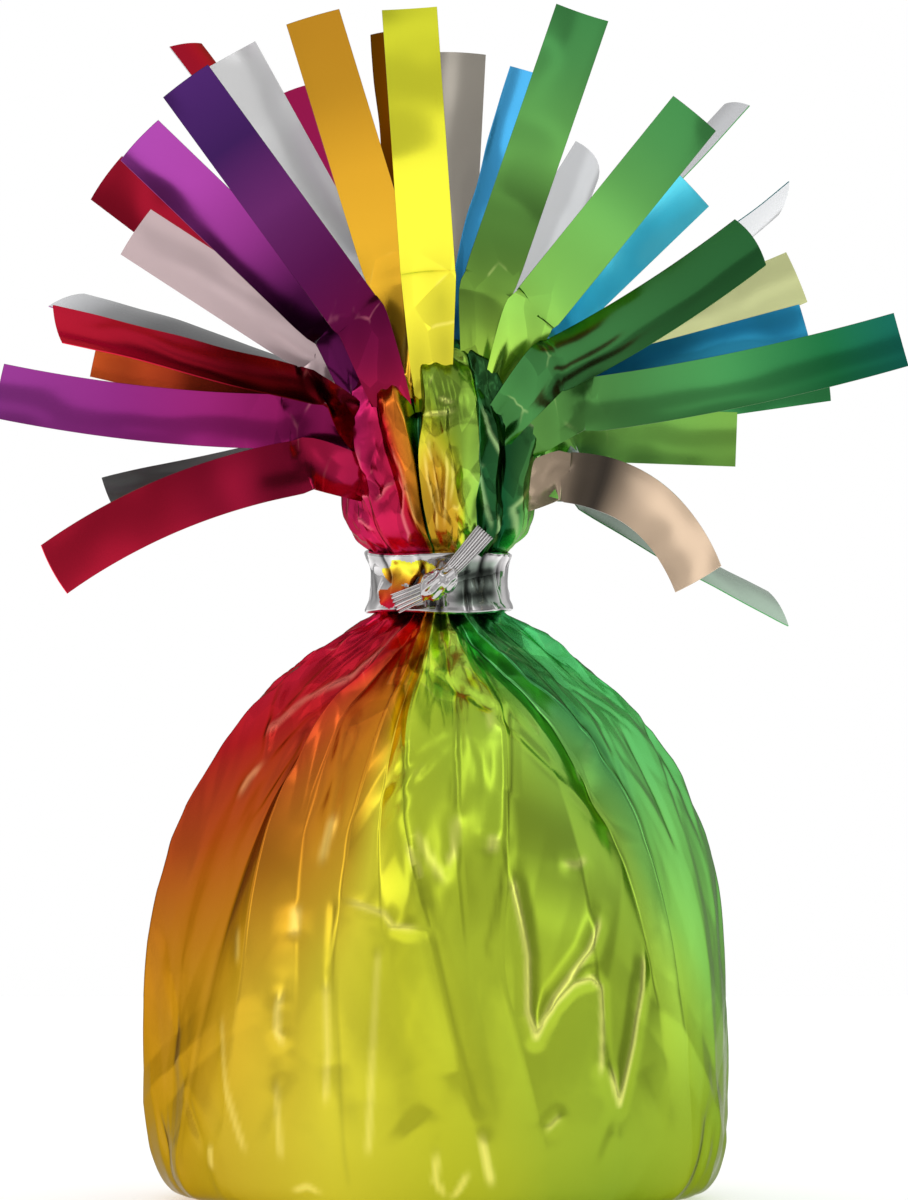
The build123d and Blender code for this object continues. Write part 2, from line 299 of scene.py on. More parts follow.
# %% Rainbow print and bare silver
# Distance across the sheet in millimetres, then the print's red, green and blue there (0 to 255)
RAINBOW = (
    (-180, 84, 44, 116),
    (-165, 156, 66, 156),
    (-150, 142, 44, 126),
    (-136, 166, 34, 108),
    (-115, 184, 28, 56),
    (-95, 180, 32, 36),
    (-72, 190, 84, 34),
    (-48, 208, 138, 38),
    (-30, 224, 178, 48),
    (-10, 240, 228, 64),
    (5, 214, 216, 52),
    (25, 172, 200, 58),
    (55, 126, 186, 84),
    (85, 88, 164, 90),
    (110, 38, 126, 74),
    (130, 24, 120, 128),
    (150, 66, 168, 224),
    (180, 92, 188, 244),
)
RAINBOW_REACH = 180.0
# Linear color of bare film, by the surroundings it mirrors
SILVERS = {
    "white": (0.78, 0.79, 0.81), "taupe": (0.35, 0.32, 0.27), "tan": (0.54, 0.40, 0.28),
    "pink": (0.60, 0.46, 0.47), "dark": (0.07, 0.07, 0.07), "lemon": (0.80, 0.84, 0.40),
    "sage": (0.30, 0.42, 0.32), "ribbon": (0.66, 0.64, 0.64),
}
FILM_HAZE = 0.08
BUMP_DISTANCE = 0.0004
MOST_TINT = (0.95, 0.95, 0.95)
RIM_TINT = (0.5, 0.5, 0.42, 1.0)
# Painted highlights: their share of the colour, and how they lighten and tint the print
GLINT_SHARE = 0.75
GLINT_GAMMA = 0.35
GLINT_TINT = (1.18, 1.06, 0.66)


def linear(channel):
    """A 0 to 255 screen value as linear light."""
    share = channel / 255
    return share / 12.92 if share <= 0.04045 else ((share + 0.055) / 1.055) ** 2.4


def add_crinkle(tree, shader, scale, gloss, strength):
    """Place the crinkle group in a material: fine relief and uneven gloss."""
    inputs = {"Crinkle Scale": scale, "Gloss": gloss, "Haze": FILM_HAZE}
    crinkle = node(tree, "ShaderNodeGroup", inputs, node_tree=crinkle_group).outputs
    inputs = {"Strength": strength, "Distance": BUMP_DISTANCE, "Height": crinkle["Height"]}
    put(tree, shader.inputs["Normal"], node(tree, "ShaderNodeBump", inputs).outputs["Normal"])
    put(tree, shader.inputs["Roughness"], crinkle["Roughness"])


def shaded(tree, color):
    """A color dimmed or lifted by the shade attribute."""
    lit = vector_node(tree, "SCALE", color, scale=attribute(tree, "shade"))
    return vector_node(tree, "MINIMUM", lit, MOST_TINT)


def ramp_of(tree, share, stops):
    """A color ramp with the given (place, linear color) stops."""
    ramp = node(tree, "ShaderNodeValToRGB", {0: share})
    elements = ramp.color_ramp.elements
    while len(elements) < len(stops):
        elements.new(0.5)
    for element, (place_share, color) in zip(elements, stops):
        element.position = place_share
        element.color = (*color, 1.0)
    return ramp.outputs["Color"]


def film_print(name, scale, gloss, strength, facet_scale):
    """Printed side of the film: a tinted mirror whose tint follows the rainbow attribute."""
    material, tree, shader = start_material(name, {"Metallic": 1.0, "Specular Tint": RIM_TINT})
    share = new_range(tree, attribute(tree, "rainbow"), -RAINBOW_REACH, RAINBOW_REACH, way="LINEAR")
    tint = ramp_of(tree, share, [
        ((stop[0] + RAINBOW_REACH) / (2 * RAINBOW_REACH), [linear(channel) for channel in stop[1:]])
        for stop in RAINBOW
    ])
    inputs = {"Facet Scale": facet_scale, "Amount": attribute(tree, "crumple")}
    facets = node(tree, "ShaderNodeGroup", inputs, node_tree=facet_group).outputs
    # Painted highlights from the crease attribute and from facet edges, and each facet's painted reflection
    # tone
    glints = math_node(tree, "MAXIMUM", attribute(tree, "crease"), facets["Painted Glint"])
    glint = node(tree, "ShaderNodeGamma", {"Color": tint, "Gamma": GLINT_GAMMA}).outputs["Color"]
    painted_light = node(tree, "ShaderNodeMix", {
        "Factor": math_node(tree, "MULTIPLY", glints, GLINT_SHARE),
        6: vector_node(tree, "SCALE", shaded(tree, tint), scale=facets["Painted Reflection"]),
        7: vector_node(tree, "MULTIPLY", glint, GLINT_TINT),
    }, data_type="RGBA")
    put(tree, shader.inputs["Base Color"], painted_light.outputs[2])
    add_crinkle(tree, shader, scale, gloss, strength)
    return material


def film_silver(name, metal, scale, gloss, strength):
    """Bare metallised side, or silver ribbon. The tint attribute runs through SILVERS in order."""
    material, tree, shader = start_material(name, {"Metallic": metal})
    stops = [(index / (len(SILVERS) - 1), value) for index, value in enumerate(SILVERS.values())]
    put(tree, shader.inputs["Base Color"], shaded(tree, ramp_of(tree, attribute(tree, "tint"), stops)))
    add_crinkle(tree, shader, scale, gloss, strength)
    return material


wrap_print = film_print("wrap_print", 200.0, 0.19, 0.03, 260.0)
strip_print = film_print("strip_print", 160.0, 0.13, 0.015, 300.0)
strip_silver = film_silver("strip_silver", 0.55, 160.0, 0.13, 0.015)
ribbon_silver = film_silver("ribbon_silver", 1.0, 420.0, 0.08, 0.20)
print("rainbow stops", len(RAINBOW))

# %% [markdown]
# ## Film wrap
# The wrap is one sheet drawn up round the cup.
# It is smooth round the sides, and crowded into pleats where it meets the tie.
# A cloth simulation gives round, soft folds. Film creases into flat facets with sharp edges,
# so the folds are laid by rule instead.
# The sheet is a fine grid on a turned profile, and each crease moves it out or in along a path.

# %% Profile of the wrap
# Radius and height in millimetres, from the middle of the base to the tie
WRAP_PROFILE = (
    (0.0, 0.15), (15.0, 0.15), (27.0, 0.12), (30.2, 0.25), (32.0, 1.6), (33.2, 4.0), (33.9, 7.5),
    (34.1, 14.0), (34.0, 21.0), (33.6, 28.0), (32.8, 34.5), (31.0, 41.0), (28.0, 48.2), (23.4, 56.0),
    (18.0, 61.4), (13.2, 65.2), (9.4, 67.6), (8.1, 68.6), (7.9, 69.6),
)
CURVE_STEPS = 40


def smooth_curve(points, count):
    """Points evenly spaced along a Catmull-Rom curve through the given ones, and the distance at each."""
    keys = np.array(points, float)
    padded = np.vstack([2 * keys[0] - keys[1], keys, 2 * keys[-1] - keys[-2]])
    t = np.linspace(0, 1, CURVE_STEPS, endpoint=False)[:, None]
    fine = []
    for a, b, c, d in zip(padded, padded[1:], padded[2:], padded[3:]):
        curve = 2 * b + (c - a) * t
        curve = curve + (2 * a - 5 * b + 4 * c - d) * t**2
        curve = curve + (3 * b - a - 3 * c + d) * t**3
        fine.append(0.5 * curve)
    fine = np.vstack(fine + [keys[-1:]])
    reach = np.concatenate([[0], np.cumsum(np.linalg.norm(np.diff(fine, axis=0), axis=1))])
    even = np.linspace(0, reach[-1], count)
    return np.stack([np.interp(even, reach, column) for column in fine.T], axis=1), even


BASE_ROWS = 14
SIDE_ROWS = 222
FLAT_BASE = 27.0
PROFILE_STEPS = 1500
fine_line, fine_reach = smooth_curve(WRAP_PROFILE, PROFILE_STEPS)
film_reach = np.concatenate([
    np.linspace(0, FLAT_BASE, BASE_ROWS, endpoint=False), np.linspace(FLAT_BASE, fine_reach[-1], SIDE_ROWS)
])
TIE = film_reach[-1]
profile = np.stack([np.interp(film_reach, fine_reach, column) for column in fine_line.T], axis=1)
print("film from base centre to tie", round(TIE, 1), "mm")

# %% [markdown]
# Between its folds the film lies flat,
# so a level cut through the wrap is a polygon with one corner at each fold.
# The folds run from the foot to the tie through five levels, as they do in the solids.
# Each one stands out or in there, and carries the print's colour at that place.
# Two folds close together make a lapped edge, where the colour jumps.

# %% Main folds
FOLD_LEVELS = (0.0, 28.0, 46.2, 57.9, 68.4)
FOLD_DEPTH = 2.4
# Each fold, from the foot to the tie: turn to the right of the front (degrees),
# stand out or in (shares of the depth), print (millimetres across the sheet)
FOLD_LINES = (
    ((-172, -170, -171, -170, -171), (0.0, 0.2, -0.5, -0.75, -0.9), (-4, -6, -10, -16, -22)),
    ((-150, -152, -150, -153, -150), (0.0, 0.25, 0.4, 0.4, 0.0), (-15, -28, -45, -62, -88)),
    ((-130, -131, -133, -130, -134), (0.0, 0.0, -0.6, -0.9, -0.95), (-22, -42, -68, -90, -108)),
    ((-112, -114, -115, -114, -114), (0.0, 0.25, 0.4, 0.3, 0.0), (-27, -50, -82, -104, -118)),
    ((-100, -98, -97, -95, -90), (0.0, -0.2, -0.6, -0.9, -0.9), (-29, -52, -86, -110, -122)),
    ((-88, -81, -75, -72, -64), (0.0, 0.3, 0.45, 0.4, 0.0), (-30, -50, -84, -106, -118)),
    ((-69, -53, -46, -40, -24), (0.0, -0.55, -0.75, -0.9, -0.75), (-27, -42, -72, -94, -114)),
    ((-49, -41, -40, -36, -20), (0.0, 0.3, 0.4, 0.25, 0.0), (-21, -30, -64, -88, -110)),
    ((-31, -29, -33, -31, -16), (0.0, -0.2, -0.45, -0.55, -0.75), (-14, -22, -56, -74, -94)),
    ((-19, -21, -19, -15, -10), (0.0, 0.2, 0.4, 0.4, 0.0), (-8, -12, -40, -54, -64)),
    ((-5, -11, -14, -12, -7), (0.0, -0.15, -0.3, -0.3, -0.5), (0, 2, -6, -34, -44)),
    ((10, 0, -8, -9, -3), (0.0, 0.3, 0.4, 0.4, 0.0), (8, 12, 16, 20, 26)),
    ((16, 6, 4, 6, 2), (0.0, -0.15, -0.5, -0.6, -0.8), (12, 17, 21, 28, 34)),
    ((24, 12, 15, 19, 6), (0.0, 0.2, 0.45, 0.4, 0.0), (20, 19, 26, 34, 46)),
    ((40, 33, 32, 30, 10), (0.0, -0.2, -0.4, -0.6, -0.8), (26, 25, 38, 52, 80)),
    ((56, 49, 44, 36, 15), (0.0, -0.4, -0.9, -1.0, -0.95), (22, 32, 42, 78, 104)),
    ((61, 53, 48, 41, 20), (0.0, 0.4, 0.6, 0.6, 0.0), (19, 40, 78, 96, 102)),
    ((76, 68, 66, 58, 42), (0.0, 0.0, -0.15, -0.3, -0.75), (21, 58, 78, 94, 102)),
    ((92, 90, 90, 84, 68), (0.0, 0.2, 0.3, 0.3, 0.0), (24, 66, 84, 98, 106)),
    ((112, 110, 111, 108, 98), (0.0, -0.25, -0.6, -0.9, -0.95), (26, 52, 80, 100, 112)),
    ((132, 133, 131, 133, 122), (0.0, 0.25, 0.4, 0.4, 0.0), (21, 42, 66, 88, 102)),
    ((152, 151, 153, 150, 146), (0.0, 0.0, -0.6, -0.9, -0.95), (13, 28, 46, 62, 80)),
    ((171, 171, 170, 172, 168), (0.0, 0.25, 0.4, 0.4, 0.0), (3, 8, 12, 20, 30)),
)
SOFT_ROWS = 9
FRONT_DENSITY = 1.5
BACK_DENSITY = 0.62
FRONT_TURNS = 100
LEAST_STEPS = 4
LEAST_SHARE = 0.05
SEAM_TURN = 180.0


def along_levels(values, levels, heights):
    """A value for every row, from one at each level: straight between the levels, with the bends softened."""
    line = np.pad(np.interp(heights, levels, values), SOFT_ROWS, mode="edge")
    return np.convolve(line, np.full(2 * SOFT_ROWS + 1, 1 / (2 * SOFT_ROWS + 1)), mode="valid")


def fold_line(row, levels, depth, rows):
    """Across, towards the back, and print of one fold at every row of a profile."""
    turns, shares, prints = (along_levels(values, levels, rows[:, 1]) for values in row)
    reach = np.maximum(rows[:, 0] + depth * shares, LEAST_SHARE * rows[:, 0])
    return np.stack([reach * np.sin(np.radians(turns)), -reach * np.cos(np.radians(turns)), prints])


def lay_panels(edges, edge_turns):
    """Grid columns on the straight chords between neighbouring folds."""
    laid = []
    for start, end, low, high in zip(edges, edges[1:], edge_turns, edge_turns[1:]):
        density = FRONT_DENSITY if abs(low + high) / 2 < FRONT_TURNS else BACK_DENSITY
        steps = max(LEAST_STEPS, round((high - low) * density))
        laid += [start + (end - start) * step / steps for step in range(steps)]
    return laid


first_turns, last_turns = np.array(FOLD_LINES[0][0]), np.array(FOLD_LINES[-1][0])
seam_share = (SEAM_TURN - last_turns[1]) / (first_turns[1] + 360 - last_turns[1])
lines = [fold_line(row, FOLD_LEVELS, FOLD_DEPTH, profile) for row in FOLD_LINES]
seam = lines[-1] + (lines[0] - lines[-1]) * seam_share
edges = [lines[-1], *lines, seam]
edge_turns = [last_turns[1] - 360, *(row[0][1] for row in FOLD_LINES), SEAM_TURN]
wrap_grid = np.stack(lay_panels(edges, edge_turns) + [seam], axis=-1)
print("main folds", len(FOLD_LINES), "grid", *wrap_grid.shape[1:])

# %% [markdown]
# Smaller creases that the picture shows are traced as short pixel paths, each from its top down,
# and laid on the flat panels.
# A sharp ridge also gets a painted highlight along its crest, and a tight groove painted shade inside.

# %% Ridges and grooves seen in the picture
# path, height at top and bottom (below zero for a groove), half width (all millimetres)
CREASES = (
    (((507, 861), (517, 903), (526, 945), (526, 1000), (534, 1024), (553, 987), (588, 941), (603, 903)),
     0.7, 0.7, 1.1),
    (((540, 1016), (553, 993), (573, 974), (590, 968), (599, 978), (600, 1030), (599, 1072)), 0.6, 0.55, 0.9),
    (((649, 938), (645, 972), (634, 1033), (617, 1092), (612, 1075), (606, 1048)), 0.7, 0.6, 1.1),
    (((297, 890), (297, 911), (295, 935)), 0.5, 0.5, 1.8),
    (((241, 912), (242, 938), (243, 962)), 0.35, 0.35, 1.4),
    (((286, 972), (280, 1000), (280, 1020), (288, 1042)), 0.5, 0.6, 1.2),
    (((340, 800), (330, 830), (320, 865)), 0.6, 0.5, 1.5),
    (((258, 754), (240, 775), (226, 800)), 0.6, 0.5, 1.3),
    (((343, 888), (362, 896), (385, 904), (394, 916), (428, 919)), 0.4, 0.5, 1.0),
    (((408, 826), (414, 850), (425, 880)), 0.5, 0.5, 1.0),
    (((412, 815), (430, 850), (450, 882)), 0.35, 0.35, 1.2),
    (((456, 800), (455, 838), (447, 866)), 0.5, 0.6, 1.0),
    (((492, 822), (490, 850)), 0.5, 0.5, 1.4),
    (((486, 700), (491, 732)), 0.4, 0.4, 1.0),
    (((556, 855), (578, 858), (594, 848)), 0.4, 0.4, 1.2),
    (((213, 1130), (216, 1165)), 0.5, 0.5, 1.2),
    (((437, 1128), (436, 1165), (450, 1188)), 0.45, 0.45, 1.0),
    (((471, 1150), (460, 1172), (448, 1188)), 0.45, 0.45, 1.0),
    (((478, 1110), (486, 1150), (493, 1178)), 0.5, 0.7, 1.2),
    (((290, 1180), (310, 1172), (330, 1182)), 0.4, 0.4, 1.0),
    (((330, 960), (331, 1040), (328, 1100)), 0.35, 0.3, 1.0),
    (((380, 930), (375, 1020), (370, 1150)), 0.3, 0.3, 1.0),
    (((278, 1060), (281, 1110), (285, 1156)), 0.3, 0.3, 1.0),
    (((225, 1000), (232, 1080), (250, 1150)), 0.3, 0.3, 1.0),
    (((540, 1120), (556, 1105), (562, 1112)), 0.35, 0.3, 1.0),
    (((408, 618), (375, 650), (341, 673), (299, 696), (278, 713), (253, 740)), 0.7, 0.4, 1.3),
    (((300, 712), (272, 800), (255, 835), (213, 945), (197, 1040), (183, 1170)), -0.5, -0.12, 1.3),
    (((339, 880), (337, 964), (343, 1079), (354, 1182)), -0.45, -0.08, 0.8),
    (((430, 628), (415, 655), (404, 677), (405, 740), (406, 800), (419, 869), (429, 911)), -0.6, -0.5, 0.7),
    (((429, 911), (445, 975), (458, 1026), (481, 1106)), -0.5, -0.12, 0.8),
    (((458, 689), (459, 740), (458, 781), (455, 815)), -0.5, -0.4, 0.7),
    (((507, 697), (505, 785), (502, 857), (486, 934), (492, 961)), -0.6, -0.15, 0.8),
    (((465, 631), (523, 670), (580, 720), (618, 781), (641, 846), (657, 919), (668, 964), (680, 1037)),
     -0.7, -0.1, 1.0),
    (((616, 1100), (604, 1130), (592, 1160)), -0.5, -0.1, 1.2),
)
CREASE_RISE = 0.55
# Share of a crease's height left at its ends, width of its foot and how it curves up from there
CREASE_END = 0.2
CREASE_FOOT = 1.8
CREASE_POWER = 1.5
# Its painted highlight or painted shade: strength, then the shares of its width where the mark starts and is
# full
MARK_GAIN = 1.6
MARK_START = 0.7
MARK_FULL = 0.05
FADE = 2.5
FADE_SHARE = 0.35
SIDE_LIMIT = 0.985
LEAST_RADIUS = 0.5


def soft_step(value, low, high):
    """Smooth rise from 0 to 1."""
    share = np.clip((value - low) / (high - low), 0, 1)
    return share * share * (3 - 2 * share)


def turned_from(bearing, turns):
    """Turns measured from a bearing, half a turn at most either way."""
    return (turns - bearing + math.pi) % (2 * math.pi) - math.pi


def new_sheet(reach, line, grid, first_row):
    """A film to crease: distances, profile, grid, turns, the row where its side starts, relief, painted
    highlights and painted shade.
    """
    turn = np.arctan2(grid[0], -grid[1])
    return SimpleNamespace(
        reach=reach, up=reach[:, None], line=line, grid=grid, turn=turn, first=first_row,
        relief=np.zeros_like(turn), painted_marks=np.zeros_like(turn),
    )


def on_sheet(sheet, pixel):
    """A pixel of the picture as distance along the film and turn round it."""
    x, z = picture_mm(pixel)
    reach = np.interp(z, sheet.line[sheet.first:, 1], sheet.reach[sheet.first:])
    radius = np.interp(reach, sheet.reach, sheet.line[:, 0])
    return reach, math.asin(max(-SIDE_LIMIT, min(SIDE_LIMIT, x / radius)))


def lay_crease(sheet, path, top, bottom, width):
    """Add one crease along a pixel path, walked in short straight runs. It fades out at both ends."""
    places = np.array([on_sheet(sheet, pixel) for pixel in path])
    heights = np.linspace(top, bottom, len(places))
    middles = np.interp((places[1:, 0] + places[:-1, 0]) / 2, sheet.reach, sheet.line[:, 0])
    runs = np.diff(places, axis=0) * np.stack([np.ones_like(middles), middles], axis=1)
    lengths = np.linalg.norm(runs, axis=1)
    starts = np.concatenate([[0], np.cumsum(lengths)])
    fade = min(FADE, FADE_SHARE * starts[-1])
    side = math.copysign(1, top)
    shape, mark = np.zeros_like(sheet.relief), np.zeros_like(sheet.relief)
    for index, (run_up, run_across) in enumerate(runs):
        up = sheet.up - places[index, 0]
        across = turned_from(places[index, 1], sheet.turn) * np.maximum(sheet.line[:, :1], LEAST_RADIUS)
        share = np.clip((up * run_up + across * run_across) / lengths[index] ** 2, 0, 1)
        apart = np.hypot(up - share * run_up, across - share * run_across)
        walked = starts[index] + share * lengths[index]
        ends = soft_step(walked, 0, fade) * soft_step(starts[-1] - walked, 0, fade)
        height = np.abs(heights[index] + (heights[index + 1] - heights[index]) * share)
        height = height * (CREASE_END + (1 - CREASE_END) * ends)
        rise = np.clip(1 - apart / (CREASE_FOOT * width), 0, 1) ** CREASE_POWER
        shape = np.maximum(shape, CREASE_RISE * height * rise)
        # Painted highlight along a ridge's crest, painted shade inside a groove
        painted_light = np.clip(MARK_GAIN * height * ends, 0, 1)
        mark = np.maximum(mark, painted_light * soft_step(apart, MARK_START * width, MARK_FULL * width))
    sheet.relief += side * shape
    sheet.painted_marks[:] = np.where(mark > np.abs(sheet.painted_marks), side * mark, sheet.painted_marks)


wrap = new_sheet(film_reach, profile, wrap_grid, BASE_ROWS)
for path, *crease in CREASES:
    lay_crease(wrap, path, *crease)
print("creases from the picture", len(CREASES))

# %% [markdown]
# Film also crumples where it is crowded: finely under the tie,
# and in small triangles where it turns under at the foot.
# On the panels between, long faint kinks break up the reflections. These are drawn by lot, with a fixed seed.

# %% Crumples drawn by lot
chance = np.random.default_rng(41)
PLEATS = 37
PLEAT_DEPTH = 0.7
# Distances along the film between which the creases set in, past the flat base
SIDE_START = (26, 34)
pleat_phase = wrap.turn * PLEATS / (2 * math.pi)
pleat_phase = pleat_phase + 0.35 * np.sin(3 * wrap.turn + 0.7) + 0.3 * np.sin(7 * wrap.turn + 2.0)
pleat_wave = np.abs((pleat_phase % 1.0) * 2 - 1)
pleat_share = 0.55 + 0.45 * np.sin(5 * wrap.turn + 1.3)
crowding = soft_step(wrap.up, TIE - 20, TIE - 3)
crowding = crowding * (1 - 0.55 * soft_step(wrap.up, TIE - 3, TIE))
wrap.relief += crowding * pleat_share * (pleat_wave - 0.6) * PLEAT_DEPTH


def draw_crease(lengths, widths, heights, slant):
    """Lean, length, width and height of one straight crease, by lot."""
    lean = math.radians(chance.normal(0, slant))
    length, width = chance.uniform(*lengths), chance.uniform(*widths)
    return lean, length, width, chance.uniform(*heights) * chance.choice((-1, 1))


def tent(up, around, lean, length, width, height):
    """Relief of one straight crease: a sharp crest that falls off to its sides and its ends."""
    along = up * math.cos(lean) + around * math.sin(lean)
    across = around * math.cos(lean) - up * math.sin(lean)
    return height * np.clip(1 - np.abs(across) / width, 0, 1) * np.clip(1 - (along / length) ** 2, 0, 1)


def add_creases(count, low, high, lengths, widths, heights, slant, clear_front=0.0):
    """Scatter straight creases over the wrap between two distances, clear of the front if asked."""
    radius = np.maximum(wrap.line[:, :1], LEAST_RADIUS)
    for _ in range(count):
        middle = chance.uniform(low, high)
        bearing = math.pi + chance.uniform(clear_front - math.pi, math.pi - clear_front)
        lean, length, width, height = draw_crease(lengths, widths, heights, slant)
        rows = np.abs(wrap.reach - middle) < length + width
        around = turned_from(bearing, wrap.turn[rows]) * radius[rows]
        wrap.relief[rows] += tent(wrap.up[rows] - middle, around, lean, length, width, height)


add_creases(230, TIE - 32, TIE, (4, 14), (0.7, 2.0), (0.10, 0.38), 20)
add_creases(60, 44, TIE - 24, (10, 26), (3.0, 9.0), (0.10, 0.34), 30)
add_creases(80, 31, 44, (3, 9), (1.0, 3.0), (0.08, 0.26), 32)
add_creases(46, 36, TIE - 18, (12, 34), (1.6, 5.0), (0.15, 0.45), 12, math.radians(58))
wrap.relief *= soft_step(wrap.up, *SIDE_START)
wrap.painted_marks *= soft_step(wrap.up, *SIDE_START)
print("relief", round(wrap.relief.min(), 2), "to", round(wrap.relief.max(), 2), "mm")

# %% Wrap mesh
LOWEST = 0.05
SHARP_FROM = 0.12
SHARP_SPAN = 0.6


def link_grid(name, spots, materials, closed=False):
    """A smooth-shaded mesh object from the x, y and z of a grid (millimetres), columns right and rows up."""
    rows, columns = spots[0].shape
    last = columns if closed else columns - 1
    row, column = np.meshgrid(np.arange(rows - 1), np.arange(last), indexing="ij")
    low, high, right = row * columns, (row + 1) * columns, (column + 1) % columns
    quads = np.stack([low + column, low + right, high + right, high + column], -1).reshape(-1, 4)
    mesh = bpy.data.meshes.new(name)
    mesh.from_pydata((np.stack(spots, -1).reshape(-1, 3) * MM).tolist(), [], quads.tolist())
    mesh.polygons.foreach_set("use_smooth", np.ones(len(mesh.polygons), bool))
    for material in materials:
        mesh.materials.append(material)
    return link_object(name, mesh)


def store(piece, **values):
    """Keep numbers, one a vertex each, as named attributes."""
    for name, numbers in values.items():
        data = piece.data.attributes.new(name, "FLOAT", "POINT").data
        data.foreach_set("value", np.ascontiguousarray(numbers, np.float32).ravel())


def dress(piece, slot, *solids):
    """Fix a piece to the weight's body and hide the solids that it stands for. The finish's name is not used.
    """
    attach(piece, BASE_BODY)
    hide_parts(*solids)
    print(piece.name, "faces", len(piece.data.polygons))


def bend_of(heights):
    """How sharply a relief bends at each point, from 0 to 1."""
    sharp = np.abs(np.gradient(np.gradient(heights, axis=1), axis=1))
    sharp = sharp + np.abs(np.gradient(np.gradient(heights, axis=0), axis=0))
    return np.clip((sharp - SHARP_FROM) / SHARP_SPAN, 0, 1)


def make_film(name, sheet, glint_share, bend_gain, closed=False, lap=0.0):
    """The mesh of a creased film, raised by its relief, with its print and its painted highlights at sharp
    bends and ridges.
    """
    slope = np.gradient(sheet.line, axis=0)
    slope /= np.linalg.norm(slope, axis=1)[:, None]
    lifted = sheet.relief * slope[:, 1:] + lap
    flat_x, flat_y, rainbow = sheet.grid
    film = link_grid(name, [
        flat_x + lifted * np.sin(sheet.turn),
        flat_y - lifted * np.cos(sheet.turn),
        np.maximum(sheet.line[:, 1:] - slope[:, :1] * sheet.relief, LOWEST),
    ], [wrap_print], closed)
    # Painted highlight where the relief bends sharply and along ridge crests, kept in the crease attribute
    glints = glint_share * bend_of(bend_gain * sheet.relief) + np.maximum(sheet.painted_marks, 0)
    store(film, rainbow=rainbow, crease=np.clip(glints, 0, 1))
    return film


LAP_LIFT = 0.12
LAP_COLUMNS = 14
FILM_PAINTED_FACETS = 0.6
lap = LAP_LIFT * soft_step(np.arange(wrap.turn.shape[1]), LAP_COLUMNS, LAP_COLUMNS / 2)[None, :]
lap = lap * soft_step(wrap.up, 20, 34)
film_wrap = make_film("film_wrap", wrap, 0.45, 1.0, lap=lap)
# Painted light and shade: brighter towards the tie and on the far right, darker in the grooves and at the
# foot
wrap_shade = (1 + 0.5 * soft_step(wrap.up, 80, 104)) * (1 - 0.5 * np.maximum(-wrap.painted_marks, 0))
wrap_shade = wrap_shade * (1 - 0.3 * soft_step(wrap.up, 62, 34))
wrap_shade = wrap_shade * (1 + 0.65 * soft_step(np.degrees(wrap.turn), 44, 58) * soft_step(wrap.up, 40, 66))
# Amount of painted facet reflections and glints, more towards the tie
wrap_painted_facets = FILM_PAINTED_FACETS * soft_step(wrap.up, TIE - 28, TIE - 8) + np.zeros_like(wrap.turn)
store(film_wrap, shade=wrap_shade, crumple=wrap_painted_facets)
dress(film_wrap, "film_lime", "foil_skirt", "foil_throat")

# %% [markdown]
# ## Collar
# Above the tie the film opens again into a bunch of crumpled laps,
# made like the wrap: flat panels between folds.
# A deep gap in front parts it into a crimson bundle on the left, and a gold, lime and green one on the right.

# %% Collar mesh
COLLAR_PROFILE = (
    (7.7, 74.9), (8.3, 75.8), (9.8, 77.4), (10.8, 79.6), (11.3, 83.5), (12.0, 87.5),
    (12.2, 91.0), (11.0, 94.8), (8.6, 97.8), (4.6, 100.0), (0.02, 100.8),
)
COLLAR_ROWS = 120
COLLAR_LEVELS = (75.0, 80.0, 87.0, 93.0, 98.0)
COLLAR_DEPTH = 1.2
